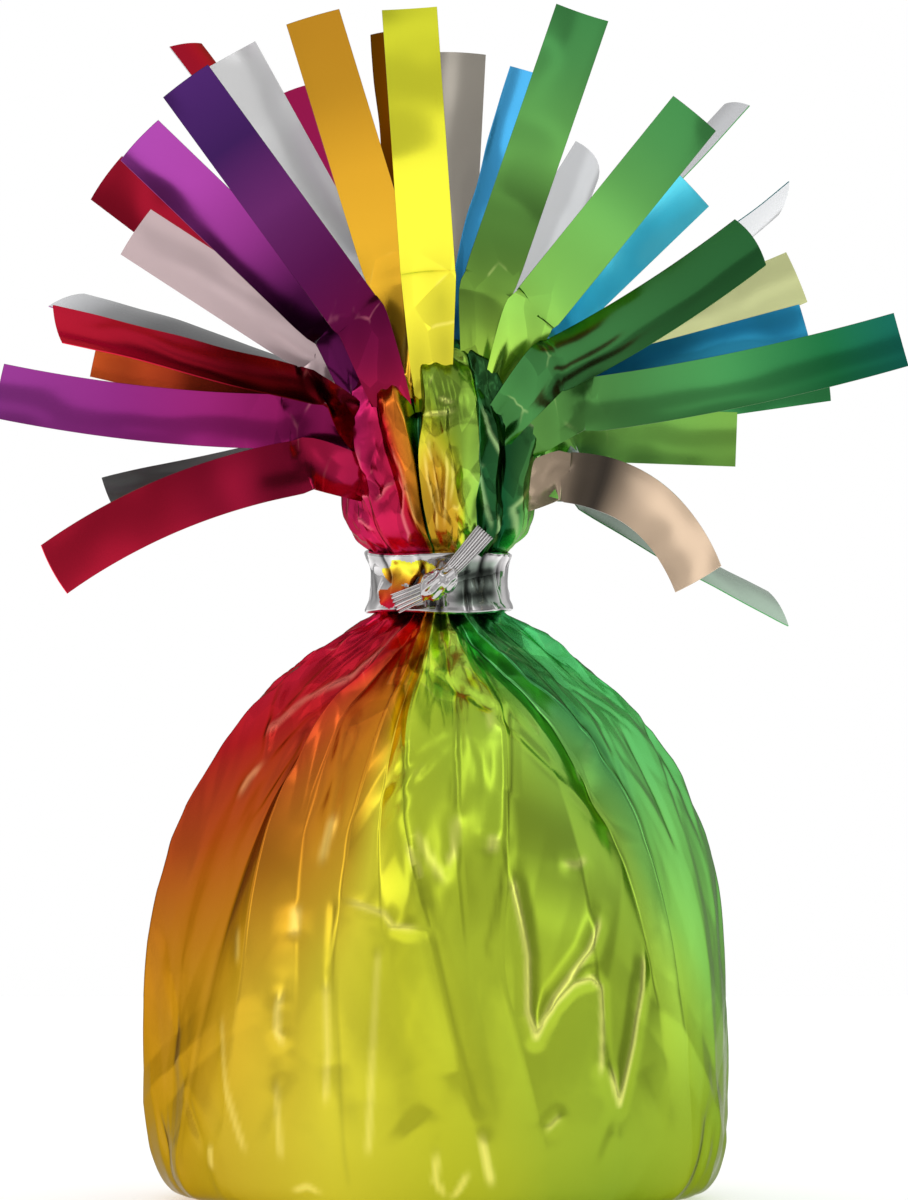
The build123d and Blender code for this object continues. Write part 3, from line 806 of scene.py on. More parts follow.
# Each fold, from the tie up: turn to the right of the front, stand out or in, print
COLLAR_LINES = (
    ((-174, -174, -174, -174, -174), (0.0, 0.5, 0.5, 0.4, 0.0), (-4, -4, -4, -4, -4)),
    ((-150, -152, -150, -151, -150), (0.0, -0.8, -0.8, -0.6, 0.0), (-60, -60, -64, -64, -64)),
    ((-128, -128, -130, -128, -128), (0.0, 0.5, 0.6, 0.4, 0.0), (-110, -110, -112, -112, -112)),
    ((-107, -106, -108, -107, -107), (0.0, -0.8, -0.8, -0.5, 0.0), (-130, -130, -132, -134, -134)),
    ((-86, -84, -84, -84, -84), (0.0, 0.4, 0.5, 0.4, 0.0), (-122, -122, -128, -134, -134)),
    ((-58, -60, -62, -66, -70), (0.0, -0.4, -0.2, -0.3, 0.0), (-120, -122, -128, -134, -134)),
    ((-34, -42, -48, -54, -62), (0.0, 0.5, 0.5, 0.4, 0.0), (-117, -120, -124, -130, -130)),
    ((-14, -24, -32, -40, -55), (0.0, -0.3, -0.6, -0.6, 0.0), (-122, -118, -118, -122, -122)),
    ((-6, -18, -26, -34, -51), (0.0, 0.2, 0.4, 0.4, 0.0), (-112, -108, -104, -104, -104)),
    ((-5, -15, -20, -30, -46), (0.0, 0.5, 0.6, 0.5, 0.0), (-62, -60, -64, -70, -80)),
    ((-4, -11, -14, -23, -40), (0.0, 0.2, 0.1, 0.0, -0.3), (-48, -46, -50, -60, -70)),
    ((-3, -10, -13.2, -15.5, -20), (0.0, -0.6, -1.6, -3.0, -3.0), (110, 112, 116, 118, 118)),
    ((-2, -9, -12, -6, -13), (0.0, 0.3, 0.4, 0.4, 0.2), (-30, -34, -20, 30, 34)),
    ((6, 2, -3, -4, -10), (0.0, -0.4, -0.3, 0.3, 0.2), (-40, -42, -36, 32, 34)),
    ((13, 11, 7, -2, -6), (0.0, 0.5, 0.5, 0.5, 0.2), (-30, -28, 4, 36, 36)),
    ((20, 16, 14, 9, 6), (0.0, 0.3, 0.3, 0.3, 0.2), (36, 36, 38, 38, 38)),
    ((28, 23, 22, 20, 23), (0.0, 0.6, 0.6, 0.5, 0.2), (46, 46, 44, 42, 42)),
    ((31, 26, 25, 23, 26), (0.0, -0.8, -0.8, -0.4, 0.0), (104, 104, 102, 96, 90)),
    ((44, 36, 34, 30, 34), (0.0, 0.3, 0.4, 0.4, 0.2), (100, 98, 96, 88, 80)),
    ((60, 52, 45, 42, 44), (0.0, -0.9, -0.8, -0.4, 0.0), (112, 110, 106, 100, 90)),
    ((72, 60, 58, 66, 66), (0.0, 0.5, 0.6, 0.5, 0.2), (76, 74, 80, 84, 84)),
    ((94, 90, 88, 90, 90), (0.0, 0.4, 0.4, 0.2, 0.0), (70, 70, 76, 80, 80)),
    ((116, 114, 116, 114, 114), (0.0, -0.9, -0.9, -0.6, 0.0), (100, 100, 100, 100, 100)),
    ((138, 136, 138, 136, 136), (0.0, 0.5, 0.5, 0.4, 0.0), (90, 90, 90, 90, 90)),
    ((158, 160, 158, 160, 160), (0.0, -0.8, -0.8, -0.5, 0.0), (40, 40, 40, 40, 40)),
)
# Sharp creases of the bunch, traced like those of the wrap
COLLAR_CREASES = (
    (((351, 489), (357, 493), (363, 496), (371, 495), (375, 489)), 0.45, 0.45, 0.5),
    (((375, 504), (388, 485), (397, 478)), 0.4, 0.4, 0.5),
    (((353, 511), (363, 523), (377, 533)), 0.45, 0.45, 0.5),
    (((393, 464), (406, 491), (402, 512), (409, 533), (412, 550)), 0.45, 0.5, 0.5),
    (((362, 440), (366, 470), (364, 490)), 0.35, 0.3, 0.6),
    (((400, 407), (410, 425), (412, 445)), 0.45, 0.4, 0.5),
    (((388, 436), (403, 470), (415, 512), (422, 533)), 0.45, 0.35, 0.4),
    (((424, 445), (428, 478), (436, 512), (438, 537)), 0.45, 0.4, 0.4),
    (((432, 455), (437, 485), (441, 515)), 0.4, 0.35, 0.35),
    (((445, 445), (447, 470), (445, 499), (444, 530)), 0.45, 0.4, 0.4),
    (((451, 450), (452, 480), (449, 510)), 0.3, 0.3, 0.35),
    (((415, 419), (428, 414), (445, 413), (460, 409)), 0.45, 0.45, 0.6),
    (((436, 396), (446, 402), (456, 404)), 0.4, 0.4, 0.5),
    (((478, 398), (489, 432), (499, 459), (497, 467)), 0.5, 0.5, 0.5),
    (((478, 428), (480, 470), (489, 533)), 0.4, 0.5, 0.6),
    (((510, 400), (520, 415), (533, 432)), 0.5, 0.4, 0.6),
    (((527, 445), (541, 474)), 0.45, 0.5, 0.6),
    (((552, 432), (546, 452), (541, 474)), 0.5, 0.45, 0.7),
    (((496, 512), (498, 526), (494, 536)), 0.55, 0.55, 0.7),
    (((529, 480), (516, 508), (506, 548)), 0.4, 0.4, 0.7),
    (((373, 436), (371, 466), (379, 499)), -0.6, -0.4, 1.0),
    (((352, 500), (362, 512), (372, 520)), -0.4, -0.3, 0.7),
    (((478, 485), (475, 510), (472, 530)), -0.6, -0.7, 1.0),
    (((512, 505), (506, 530), (499, 552)), -0.6, -0.7, 1.0),
    (((436, 460), (440, 490), (443, 520)), -0.4, -0.4, 0.4),
    (((427, 460), (432, 490), (437, 525)), -0.4, -0.4, 0.4),
)
COLLAR_CRUMPLES = 340
# Brightness round the bunch: the green laps on the right lie in the shade of the fringe
COLLAR_SHADE = (
    (-180, 1.0), (-100, 1.0), (-80, 1.05), (-20, 1.05), (-12, 0.55), (12, 0.55), (16, 0.9), (24, 0.9),
    (27, 0.25), (58, 0.3), (66, 0.9), (180, 1.0),
)
collar_line, collar_reach = smooth_curve(COLLAR_PROFILE, COLLAR_ROWS)
edges = [fold_line(row, COLLAR_LEVELS, COLLAR_DEPTH, collar_line) for row in COLLAR_LINES]
edge_turns = [row[0][1] for row in COLLAR_LINES]
collar_grid = np.stack(lay_panels(edges + edges[:1], edge_turns + [edge_turns[0] + 360]), axis=-1)
collar = new_sheet(collar_reach, collar_line, collar_grid, 0)
collar_end = collar_reach[-1]
for path, *crease in COLLAR_CREASES:
    lay_crease(collar, path, *crease)
for _ in range(COLLAR_CRUMPLES):
    middle, bearing = chance.uniform(1, collar_end - 4), chance.uniform(-math.pi, math.pi)
    around = turned_from(bearing, collar.turn) * np.maximum(collar_line[:, :1], 1)
    collar.relief += tent(collar.up - middle, around, *draw_crease((2, 8), (0.5, 1.9), (0.12, 0.40), 26))
collar.relief *= soft_step(collar.up, collar_end, collar_end - 6)
film_collar = make_film("film_collar", collar, 0.4, 1.6, closed=True)
collar_shade = np.interp(np.degrees(collar.turn), *np.array(COLLAR_SHADE).T)
# Painted shade inside the traced grooves
collar_shade = collar_shade * (1 - 0.6 * np.maximum(-collar.painted_marks, 0))
store(film_collar, shade=collar_shade, crumple=np.full(collar.turn.shape, FILM_PAINTED_FACETS))
dress(film_collar, "film_lime", "foil_gathers", "foil_crown")

# %% [markdown]
# ## Fringe
# The free edge is cut into strips of one width.
# Each strip runs up out of the collar, turns outwards and springs away.
# A strip is a flat band that follows a path, which suits Geometry Nodes: a grid is laid along a curve,
# and the curve carries the band's width, its facing and its colour as attributes.

# %% Strip node tree
strip_tree = bpy.data.node_groups.new("film_strip", "GeometryNodeTree")
strip_inputs = {}
for label, kind in (
    ("Geometry", "Geometry"), ("Length Steps", "Int"), ("Width Steps", "Int"), ("Film Thickness", "Float"),
    ("Cross Curl", "Float"), ("Gather Depth", "Float"), ("Flutter", "Float"), ("Seed", "Float"),
    ("Tint", "Float"), ("Upper Face", "Material"), ("Lower Face", "Material"),
):
    socket = strip_tree.interface.new_socket(label, in_out="INPUT", socket_type="NodeSocket" + kind)
    strip_inputs[label] = socket.identifier
strip_tree.interface.new_socket("Geometry", in_out="OUTPUT", socket_type="NodeSocketGeometry")
strip_node = partial(node, strip_tree)
strip_math = partial(math_node, strip_tree)
strip_vector = partial(vector_node, strip_tree)
given = strip_node("NodeGroupInput").outputs
PATH_RESOLUTION = 12
CURL_MIDDLE = -0.33
FLUTTER_ALONG = 3.2
FLUTTER_ACROSS = 0.22
MERGE_DISTANCE = 1e-6
path_curve = strip_node("GeometryNodeMeshToCurve", {0: given["Geometry"]}).outputs[0]
smooth = strip_node("GeometryNodeCurveSplineType", {"Curve": path_curve}, spline_type="CATMULL_ROM")
inputs = {0: smooth.outputs[0], "Resolution": PATH_RESOLUTION}
path_curve = strip_node("GeometryNodeSetSplineResolution", inputs).outputs[0]
laid = strip_node("GeometryNodeMeshGrid", {
    "Size X": 1.0, "Size Y": 1.0, "Vertices X": given["Length Steps"], "Vertices Y": given["Width Steps"],
}).outputs["Mesh"]
spot = strip_node("ShaderNodeSeparateXYZ", {0: strip_node("GeometryNodeInputPosition").outputs[0]}).outputs
share_along = strip_math("ADD", spot["X"], 0.5)
share_across = strip_math("MULTIPLY", spot["Y"], -2.0)


def read_path(label, kind="FLOAT"):
    """An attribute of the path, read at each grid point's share of the way along."""
    named = strip_node("GeometryNodeInputNamedAttribute", {"Name": label}, data_type=kind)
    inputs = {"Curves": path_curve, "Value": named.outputs["Attribute"], "Factor": share_along}
    settings = {"mode": "FACTOR", "data_type": kind, "use_all_curves": True}
    return strip_node("GeometryNodeSampleCurve", inputs, **settings).outputs


facing = read_path("across", "FLOAT_VECTOR")
normal = strip_vector("NORMALIZE", strip_vector("CROSS_PRODUCT", facing["Value"], facing["Tangent"]))
across = strip_vector("CROSS_PRODUCT", facing["Tangent"], normal)
half_width, gather = read_path("half_width")["Value"], read_path("gather")["Value"]
sideways = strip_vector("SCALE", across, scale=strip_math("MULTIPLY", share_across, half_width))
curl = strip_math("MULTIPLY_ADD", share_across, share_across, CURL_MIDDLE)
curl = strip_math("MULTIPLY", curl, given["Cross Curl"])
curl = strip_math("MULTIPLY", curl, strip_math("SUBTRACT", 1.0, gather))
pleat = strip_math("PINGPONG", strip_math("MULTIPLY_ADD", share_across, 1.5, 0.5), 0.5)
pleat_size = strip_math("MULTIPLY", gather, given["Gather Depth"])
pleat = strip_math("MULTIPLY", strip_math("SUBTRACT", pleat, 0.25), pleat_size)
spread = strip_node("ShaderNodeCombineXYZ", {
    0: strip_math("MULTIPLY", share_along, FLUTTER_ALONG),
    1: strip_math("MULTIPLY", share_across, FLUTTER_ACROSS),
    2: given["Seed"],
}).outputs[0]
flutter = strip_node("ShaderNodeTexNoise", {"Vector": spread, "Scale": 1.0, "Detail": 1.0}).outputs[0]
flutter = strip_math("MULTIPLY", strip_math("SUBTRACT", flutter, 0.5), given["Flutter"])
sunk = strip_math("SUBTRACT", flutter, strip_math("MULTIPLY", given["Film Thickness"], 0.5))
lift = strip_math("ADD", strip_math("ADD", curl, pleat), sunk)
place = strip_vector("ADD", facing["Position"], sideways)
place = strip_vector("ADD", place, strip_vector("SCALE", normal, scale=lift))
for label in ("rainbow", "shade", "crumple", "tint"):
    value = given["Tint"] if label == "tint" else read_path(label)["Value"]
    inputs = {"Geometry": laid, "Name": label, "Value": value}
    laid = strip_node("GeometryNodeStoreNamedAttribute", inputs, data_type="FLOAT", domain="POINT").outputs[0]
laid = strip_node("GeometryNodeSetPosition", {"Geometry": laid, "Position": place}).outputs[0]
laid = strip_node("GeometryNodeSetShadeSmooth", {0: laid}).outputs[0]
inputs = {"Mesh": laid, "Offset Scale": given["Film Thickness"], "Individual": False}
thick = strip_node("GeometryNodeExtrudeMesh", inputs, mode="FACES").outputs
inputs = {0: thick["Mesh"], "Selection": thick["Side"], "Shade Smooth": False}
upper = strip_node("GeometryNodeSetShadeSmooth", inputs).outputs[0]
upper = strip_node("GeometryNodeSetMaterial", {"Geometry": upper, "Material": given["Upper Face"]}).outputs[0]
lower = strip_node("GeometryNodeFlipFaces", {0: laid}).outputs[0]
lower = strip_node("GeometryNodeSetMaterial", {"Geometry": lower, "Material": given["Lower Face"]}).outputs[0]
both = strip_node("GeometryNodeJoinGeometry")
put(strip_tree, both.inputs[0], lower)
put(strip_tree, both.inputs[0], upper)
whole = strip_node("GeometryNodeMergeByDistance", {0: both.outputs[0], "Distance": MERGE_DISTANCE}).outputs[0]
whole = strip_node("GeometryNodeRealizeInstances", {0: whole}).outputs[0]
strip_node("NodeGroupOutput", {"Geometry": whole})
print("strip tree", len(strip_tree.nodes), "nodes")

# %% [markdown]
# Each strip's path starts inside the collar and leaves it along its own direction,
# then bends as its solid does.
# The table gives its place in the fan, and what the picture shows of it: the print or the silver side,
# the colour at root and tip, and how bright it is from root to tip.
# That shade stands for what the flat film happens to mirror.

# %% Strip table
CROWN_CENTRE = Vector((0.0, 0.0, 90.0))
ROOT_REACH = 12.475
STRIP_LENGTH = 46.0
STRIP_HALF_WIDTH = 3.2
ROOT_HALF_WIDTH = 2.8
TIE_HALF_WIDTH = 1.9
# Amount of painted facet reflections and glints at a strip's root, fading out over a distance
ROOT_PAINTED_FACETS = 0.8
PAINTED_FACET_REACH = 13.0
# Where a strip runs inside the collar: degrees below its root, and distance from the bunch's middle
TONGUE = ((42, 9.8), (20, 11.2))
PLAIN = (0.7, 0.9, 1.0, 1.0, 1.0)
# fan, lean, roll, bend (degrees), share of the full length, print or kind of silver to the front,
# colour at root and tip, twist (degrees), curl across and sideways bow (millimetres), shade from root to tip
STRIPS = (
    (-110, 34, 0, 6, 1.00, "print", -122, -112, 0, 0.35, 2.5, (0.5, 0.7, 1.1, 1.5, 1.7)),
    (-103, 15, 15, 8, 0.62, "dark", -118, -112, 20, 0.6, 0, (1.0, 1.0, 4.0, 1.0, 1.0)),
    (-85, 24, 0, -8, 0.92, "print", -126, -160, 0, 0.35, -1.2, (0.4, 0.4, 0.9, 1.0, 0.95)),
    (-81, -22, 180, 6, 0.64, "print", -138, -146, 0, 0.35, 0, PLAIN),
    (-77, 4, 0, 8, 0.63, "print", -104, -74, 0, 0.35, 0, (0.5, 0.3, 0.3, 1.2, 1.3)),
    (-71, 36, 55, -10, 0.92, "print", -118, -110, 0, 0.35, -1.0, (0.4, 0.4, 0.3, 1.2, 1.5)),
    (-68, -35, 245, 6, 1.00, "white", -140, -150, 0, 0.35, 0, (0.1, 0.1, 0.1, 0.12, 0.15, 0.2, 0.4, 1.2)),
    (-57, -12, 180, 8, 0.69, "pink", -130, -140, 0, 0.35, 0, (0.6, 1.1, 1.3, 1.4, 1.4)),
    (-53, -29, 180, 6, 1.00, "print", -116, -112, 0, 0.35, 0, (0.5, 0.5, 0.5, 0.5, 0.5)),
    (-46, 18, 0, 6, 0.85, "print", -142, -164, 0, 0.5, 0, (0.3, 0.2, 0.2, 0.9, 1.3, 1.25)),
    (-36, 40, 0, -22, 1.00, "print", -112, -195, 0, 0.35, 0, (0.9, 0.25, 0.3, 0.35, 0.5, 0.8)),
    (-31, -16, 240, 6, 0.97, "print", -116, -110, 0, 0.35, 0, PLAIN),
    (-29, 0, 0, 6, 0.82, "white", -90, -90, 0, 0.35, 0, (0.7, 1.0, 1.25, 1.3, 1.3)),
    (-25, -36, 180, 6, 0.95, "print", -132, -126, 0, 0.35, 0, PLAIN),
    (-17, 22, 0, -8, 0.88, "print", -32, -42, 0, 0.35, 0, (0.9, 1.1, 1.1, 1.0, 0.7, 0.68)),
    (-10, 2, 60, 6, 0.75, "print", -70, -60, 0, 0.35, 0, (0.1, 0.1, 0.12, 0.3, 0.25)),
    (-4, 36, 0, -44, 0.89, "print", -12, 6, 0, 0.35, 0, (0.8, 0.85, 1.2, 1.25, 1.25, 1.3)),
    (3, -18, 180, 6, 0.76, "taupe", 10, 10, 0, 0.35, 0, (2.2, 0.7, 1.0, 1.0, 1.0)),
    (11, -2, 55, 8, 0.67, "print", 146, 166, 0, 0.35, 0, (0.5, 0.6, 1.0, 1.1, 1.05)),
    (19, 22, 0, -36, 0.88, "print", 30, 92, 0, 0.35, 0, (1.0, 0.9, 0.5, 0.35, 0.45, 1.35, 1.2, 1.15, 1.2)),
    (30, -40, 180, 12, 0.86, "white", 90, 100, 40, 1.6, 0, PLAIN),
    (39, 29, 0, -14, 0.85, "print", 30, 92, 0, 0.35, 0, (1.1, 1.1, 1.05, 1.0, 0.95, 1.1, 0.8, 0.75, 0.8)),
    (41, -16, 110, 4, 0.91, "white", 80, 90, 0, 0.35, 0, PLAIN),
    (46, 8, 0, 6, 0.63, "print", 150, 162, 0, 0.35, 0, (0.6, 1.2, 1.8, 1.8, 1.8)),
    (59, 43, 0, -8, 0.92, "print", 80, 98, 0, 1.0, 1.0, (0.5, 0.45, 0.5, 0.4, 0.4)),
    (59, -31, 245, 6, 1.00, "white", 120, 130, 0, 0.35, 0, PLAIN),
    (67, -10, 180, 6, 0.75, "lemon", 8, 14, 0, 0.35, 0, PLAIN),
    (75, 8, 0, 6, 0.71, "print", 136, 140, 0, 0.35, 0, (0.6, 0.9, 1.1, 1.3, 1.4)),
    (79, 29, 0, -30, 0.99, "print", 58, 120, 0, 0.35, 1.0, (0.45, 0.45, 0.6, 1.0, 0.8, 0.7)),
    (82, -25, 180, 6, 0.87, "print", 92, 104, 0, 0.35, 0, PLAIN),
    (92, -6, 0, 8, 0.49, "print", 62, 52, 0, 0.35, 0, (0.7, 0.8, 1.0, 0.85, 0.8)),
    (120, 21, 0, 10, 0.56, "tan", 60, 60, 0, 0.35, -4.5,
     (1.0, 1.0, 1.0, 1.1, 0.2, 0.10, 0.9, 1.3, 1.3, 1.3, 1.3)),
    (114, -22, 112, 10, 0.81, "sage", 95, 95, 0, 0.35, -3.0, (0.3, 0.4, 0.7, 1.2, 1.4)),
    (-80, -58, 180, 8, 0.80, "white", -120, -130, 0, 0.35, 0, PLAIN),
    (80, -58, 180, 8, 0.80, "white", 110, 120, 0, 0.35, 0, PLAIN),
)
# Each upright strip eases out of the bunch over its own stretch, a share of its length,
# so the bends do not line up.
# A strip that leaves level or hanging turns sooner, because a late turn there would kink it.
BEND_START = 0.12
BEND_SPREAD = 0.16
BEND_LOT = 0.37
LEVEL_FAN = 90
# Tilt (degrees) past which a strip climbs out of the collar. Up to a bearing (radians) from the front,
# its foot keeps a share of that bearing
CLIMB_TILT = 18
FRONT_BEARING = 1.6
FRONT_SHARE = 0.86
# A strip nearer upright starts this far under its root (millimetres), gathered by this share
UPRIGHT_FOOT = 5.0
UPRIGHT_GATHER = 0.3
PATH_STEPS = 17
TAPER_REACH = 9.0
TWIST_POWER = 1.5


def strip_frame(fan, lean, roll):
    """Directions of a strip at its root, as its solid has them: along it, across it, out of one face."""
    fan, lean = math.radians(fan), math.radians(lean)
    along = Vector((math.sin(fan) * math.cos(lean), -math.sin(lean), math.cos(fan) * math.cos(lean)))
    across = Vector((math.cos(fan), 0.0, -math.sin(fan)))
    across.rotate(Quaternion(along, math.radians(roll)))
    return along, across, across.cross(along)


def as_turn(along, across):
    """The turn that takes the X and Y axes to a strip's along and across."""
    return Matrix((along, across, along.cross(across))).transposed().to_quaternion()


def strip_stations(fan, lean, roll, bend, share, twist, bow):
    """Points of one strip's path, each with the across direction, half width and gathering there."""
    along, across, facing = strip_frame(fan, lean, roll)
    root = CROWN_CENTRE + along * ROOT_REACH
    length, angle = STRIP_LENGTH * share, math.radians(bend)
    stations = []
    bearing = math.atan2(along.x, -along.y)
    polar = math.acos(along.z)
    climbs = polar > math.radians(CLIMB_TILT)
    if climbs:
        tie_turn = bearing * (FRONT_SHARE if abs(bearing) < FRONT_BEARING else 1.0)
        foot_across = Vector((math.cos(tie_turn), math.sin(tie_turn), 0.0))
        foot_turn = as_turn(Vector((0.0, 0.0, 1.0)), foot_across)
        root_turn = as_turn(along, across)
        for turn_share, (below, reach) in zip((0.0, 0.5), TONGUE):
            down = polar + math.radians(below)
            here = tie_turn + (bearing - tie_turn) * turn_share
            out = Vector((math.sin(here) * math.sin(down), -math.cos(here) * math.sin(down), math.cos(down)))
            spin = foot_turn.slerp(root_turn, turn_share)
            half_width = TIE_HALF_WIDTH + (ROOT_HALF_WIDTH - TIE_HALF_WIDTH) * turn_share
            spot = CROWN_CENTRE + out * reach
            stations.append((spot, spin @ Vector((0, 1, 0)), half_width, 1 - turn_share))
    else:
        stations.append((root - along * UPRIGHT_FOOT, across, ROOT_HALF_WIDTH, UPRIGHT_GATHER))
    upright = max(0.0, 1 - abs(fan) / LEVEL_FAN)
    first = BEND_START + BEND_SPREAD * (BEND_LOT * abs(fan) % 1) * upright if climbs else 0.0
    for step in np.linspace(first, 1, PATH_STEPS):
        swing = angle * step
        reach = length / angle
        spot = root + along * (reach * math.sin(swing)) + facing * (reach * (1 - math.cos(swing)))
        spot += across * (4 * bow * step * (1 - step))
        run = along * math.cos(swing) + facing * math.sin(swing)
        turned = across.copy()
        turned.rotate(Quaternion(run, math.radians(twist) * step**TWIST_POWER))
        widen = min(1.0, step * length / TAPER_REACH)
        stations.append((spot, turned, ROOT_HALF_WIDTH + (STRIP_HALF_WIDTH - ROOT_HALF_WIDTH) * widen, 0.0))
    return stations, root, along, facing


print("strips", len(STRIPS))

# %% Make every strip
FILM_THICKNESS = 0.14
GATHER_DEPTH = 1.6
FLUTTER_DEPTH = 1.4
SEED_STEP = 3.7
SHARP_ANGLE = math.radians(50)


def strip_path(stations, root, colors, shades):
    """A strip's path as a mesh of edges that carries what the node tree reads along it."""
    spots, acrosses, half_widths, gathers = zip(*stations)
    path = bpy.data.meshes.new("strip_path")
    path.from_pydata([spot * MM for spot in spots], [(i, i + 1) for i in range(len(spots) - 1)], [])
    data = path.attributes.new("across", "FLOAT_VECTOR", "POINT").data
    data.foreach_set("vector", np.array(acrosses, np.float32).ravel())
    reach = np.cumsum([0.0] + [(b - a).length for a, b in zip(spots, spots[1:])])
    share = reach / reach[-1]
    for label, values in (
        ("half_width", [half_width * MM for half_width in half_widths]),
        ("gather", gathers),
        ("rainbow", colors[0] + (colors[1] - colors[0]) * share),
        ("shade", np.interp(share, np.linspace(0, 1, len(shades)), shades)),
        ("crumple", [ROOT_PAINTED_FACETS * max(0.0, 1 - (spot - root).length / PAINTED_FACET_REACH) for spot in spots]),
    ):
        path.attributes.new(label, "FLOAT", "POINT").data.foreach_set("value", np.array(values, np.float32))
    return path


def make_strip(number, row):
    """Lay one strip with the node tree, turn it into a plain mesh and hide its solid."""
    fan, lean, roll, bend, share, front, root_color, tip_color, twist, curl_depth, bow, shades = row
    stations, root, along, facing = strip_stations(fan, lean, roll, bend, share, twist, bow)
    path = strip_path(stations, root, (root_color, tip_color), shades)
    draft = link_object("strip_draft", path)
    modifier = draft.modifiers.new("film_strip", "NODES")
    modifier.node_group = strip_tree
    printed_front = facing.y < 0
    faces = [strip_print, strip_silver]
    if (front == "print") != printed_front:
        faces.reverse()
    for label, value in (
        ("Length Steps", 72), ("Width Steps", 9), ("Film Thickness", FILM_THICKNESS * MM),
        ("Cross Curl", curl_depth * MM), ("Gather Depth", GATHER_DEPTH * MM), ("Flutter", FLUTTER_DEPTH * MM),
        ("Seed", SEED_STEP * number),
        ("Tint", list(SILVERS).index(front) / (len(SILVERS) - 1) if front in SILVERS else 0.0),
        ("Upper Face", faces[0]), ("Lower Face", faces[1]),
    ):
        modifier[strip_inputs[label]] = value
    graph = bpy.context.evaluated_depsgraph_get()
    mesh = bpy.data.meshes.new_from_object(draft.evaluated_get(graph))
    mesh.name = f"film_strip_{number:02d}"
    mesh.set_sharp_from_angle(angle=SHARP_ANGLE)
    strip = link_object(mesh.name, mesh)
    bpy.data.objects.remove(draft)
    bpy.data.meshes.remove(path)
    solid = f"fringe_strip_{number:02d}"
    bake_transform(strip)
    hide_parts(solid)
    return strip


strips = [make_strip(number, row) for number, row in enumerate(STRIPS, start=1)]
print("faces a strip", len(strips[0].data.polygons))

# %% [markdown]
# ## Ribbon tie
# A silver ribbon is wound round the neck and knotted in front.
# Its edges roll outwards, and its face is full of upright crinkles.
# The bunched end that stands up from the knot is creased lengthwise like a tiny fan.

# %% Ribbon band
BAND_PROFILE = (
    (7.6, 68.9), (8.1, 68.55), (8.55, 68.75), (8.5, 69.3), (8.15, 70.2), (7.95, 72.0),
    (8.1, 73.9), (8.45, 74.9), (8.55, 75.4), (8.15, 75.65), (7.6, 75.3),
)
BAND_ROWS = 60
BAND_COLUMNS = 260
BAND_CRUMPLES = 90
BAND_MIDDLE = 72.0
BAND_HALF = 3.5
BAND_WAVE = 0.18
# Film shows between the ribbon's turns in two gaps: turn and height of the middle, then half sizes
# (degrees, millimetres)
GAPS = ((-27, 73.2, 25, 1.5), (-36, 70.5, 23, 1.3))
GAP_RAGGED = 0.3
GAP_RADIUS = 7.8
band_line, band_reach = smooth_curve(BAND_PROFILE, BAND_ROWS)
band_turn = np.radians(np.linspace(-180, 180, BAND_COLUMNS, endpoint=False))
band_relief = np.zeros((BAND_ROWS, BAND_COLUMNS))
for _ in range(BAND_CRUMPLES):
    bearing, middle = chance.uniform(-math.pi, math.pi), chance.uniform(0, band_reach[-1])
    up, around = band_reach[:, None] - middle, turned_from(bearing, band_turn) * band_line[:, :1]
    band_relief += tent(up, around, *draw_crease((1.2, 5.0), (0.35, 1.1), (0.05, 0.22), 30))
band_radius = band_line[:, :1] + band_relief
band_wave = BAND_WAVE * np.sin(3 * band_turn + 0.6)
band_height = band_line[:, 1:] + band_wave * (band_line[:, 1:] - BAND_MIDDLE) / BAND_HALF
band_spots = [band_radius * np.sin(band_turn), -band_radius * np.cos(band_turn), band_height]
ribbon_band = link_grid("ribbon_band", band_spots, [ribbon_silver, wrap_print], closed=True)
centre = np.empty(len(ribbon_band.data.polygons) * 3)
ribbon_band.data.polygons.foreach_get("center", centre)
east, north, height = centre.reshape(-1, 3).T / MM
bearing = np.degrees(np.arctan2(east, -north))
ragged = 1 + GAP_RAGGED * np.sin(bearing / 4 + 2 * height)
in_gap = np.zeros(len(bearing), bool)
for turn_to, level, half_turn, half_height in GAPS:
    in_gap |= ((bearing - turn_to) / half_turn) ** 2 + ((height - level) / half_height) ** 2 < ragged
in_gap &= np.hypot(east, north) > GAP_RADIUS
ribbon_band.data.polygons.foreach_set("material_index", in_gap.astype(np.int32))
# On the right the smooth face mirrors the green film below: dark level streaks between pale rims
band_face = soft_step(np.abs(band_height - BAND_MIDDLE), 3.0, 2.2)
right_half = soft_step(np.degrees(band_turn), 8, 20) * soft_step(np.degrees(band_turn), 62, 48)
streaks = np.sin(2.6 * band_height + 0.5 * np.sin(5 * band_turn) + 6 * band_relief)
dim = band_face * right_half * (0.66 + 0.34 * streaks)
# Shade: painted light on the crumples' raised parts, painted shade in their hollows
store(
    ribbon_band,
    rainbow=-70 + 22 * (band_height - 71.3) + 150 * band_relief,
    crease=np.zeros_like(band_relief),
    crumple=np.ones_like(band_relief),
    shade=np.clip(0.75 + 4.2 * band_relief, 0.06, 1.25) * (1 - 0.9 * dim),
    tint=1 - 0.10 * band_face * right_half,
)
dress(ribbon_band, "ribbon_silver", "tie_band")

# %% Knot and ends
KNOT_FRONT = -9.9
KNOT_HEIGHT = 72.1
KNOT_HALF = 2.3
KNOT_RISE = 0.9
KNOT_STRETCH = 1.25
KNOT_PLEATS = 9
KNOT_SHADE = 0.85
KNOT_ROWS = 40
KNOT_COLUMNS = 48
END_ROWS = 26
FOLD_COLUMNS = 4
END_ROUND = 0.6
END_UNEVEN = 0.25
RIBBON_THICKNESS = 0.1


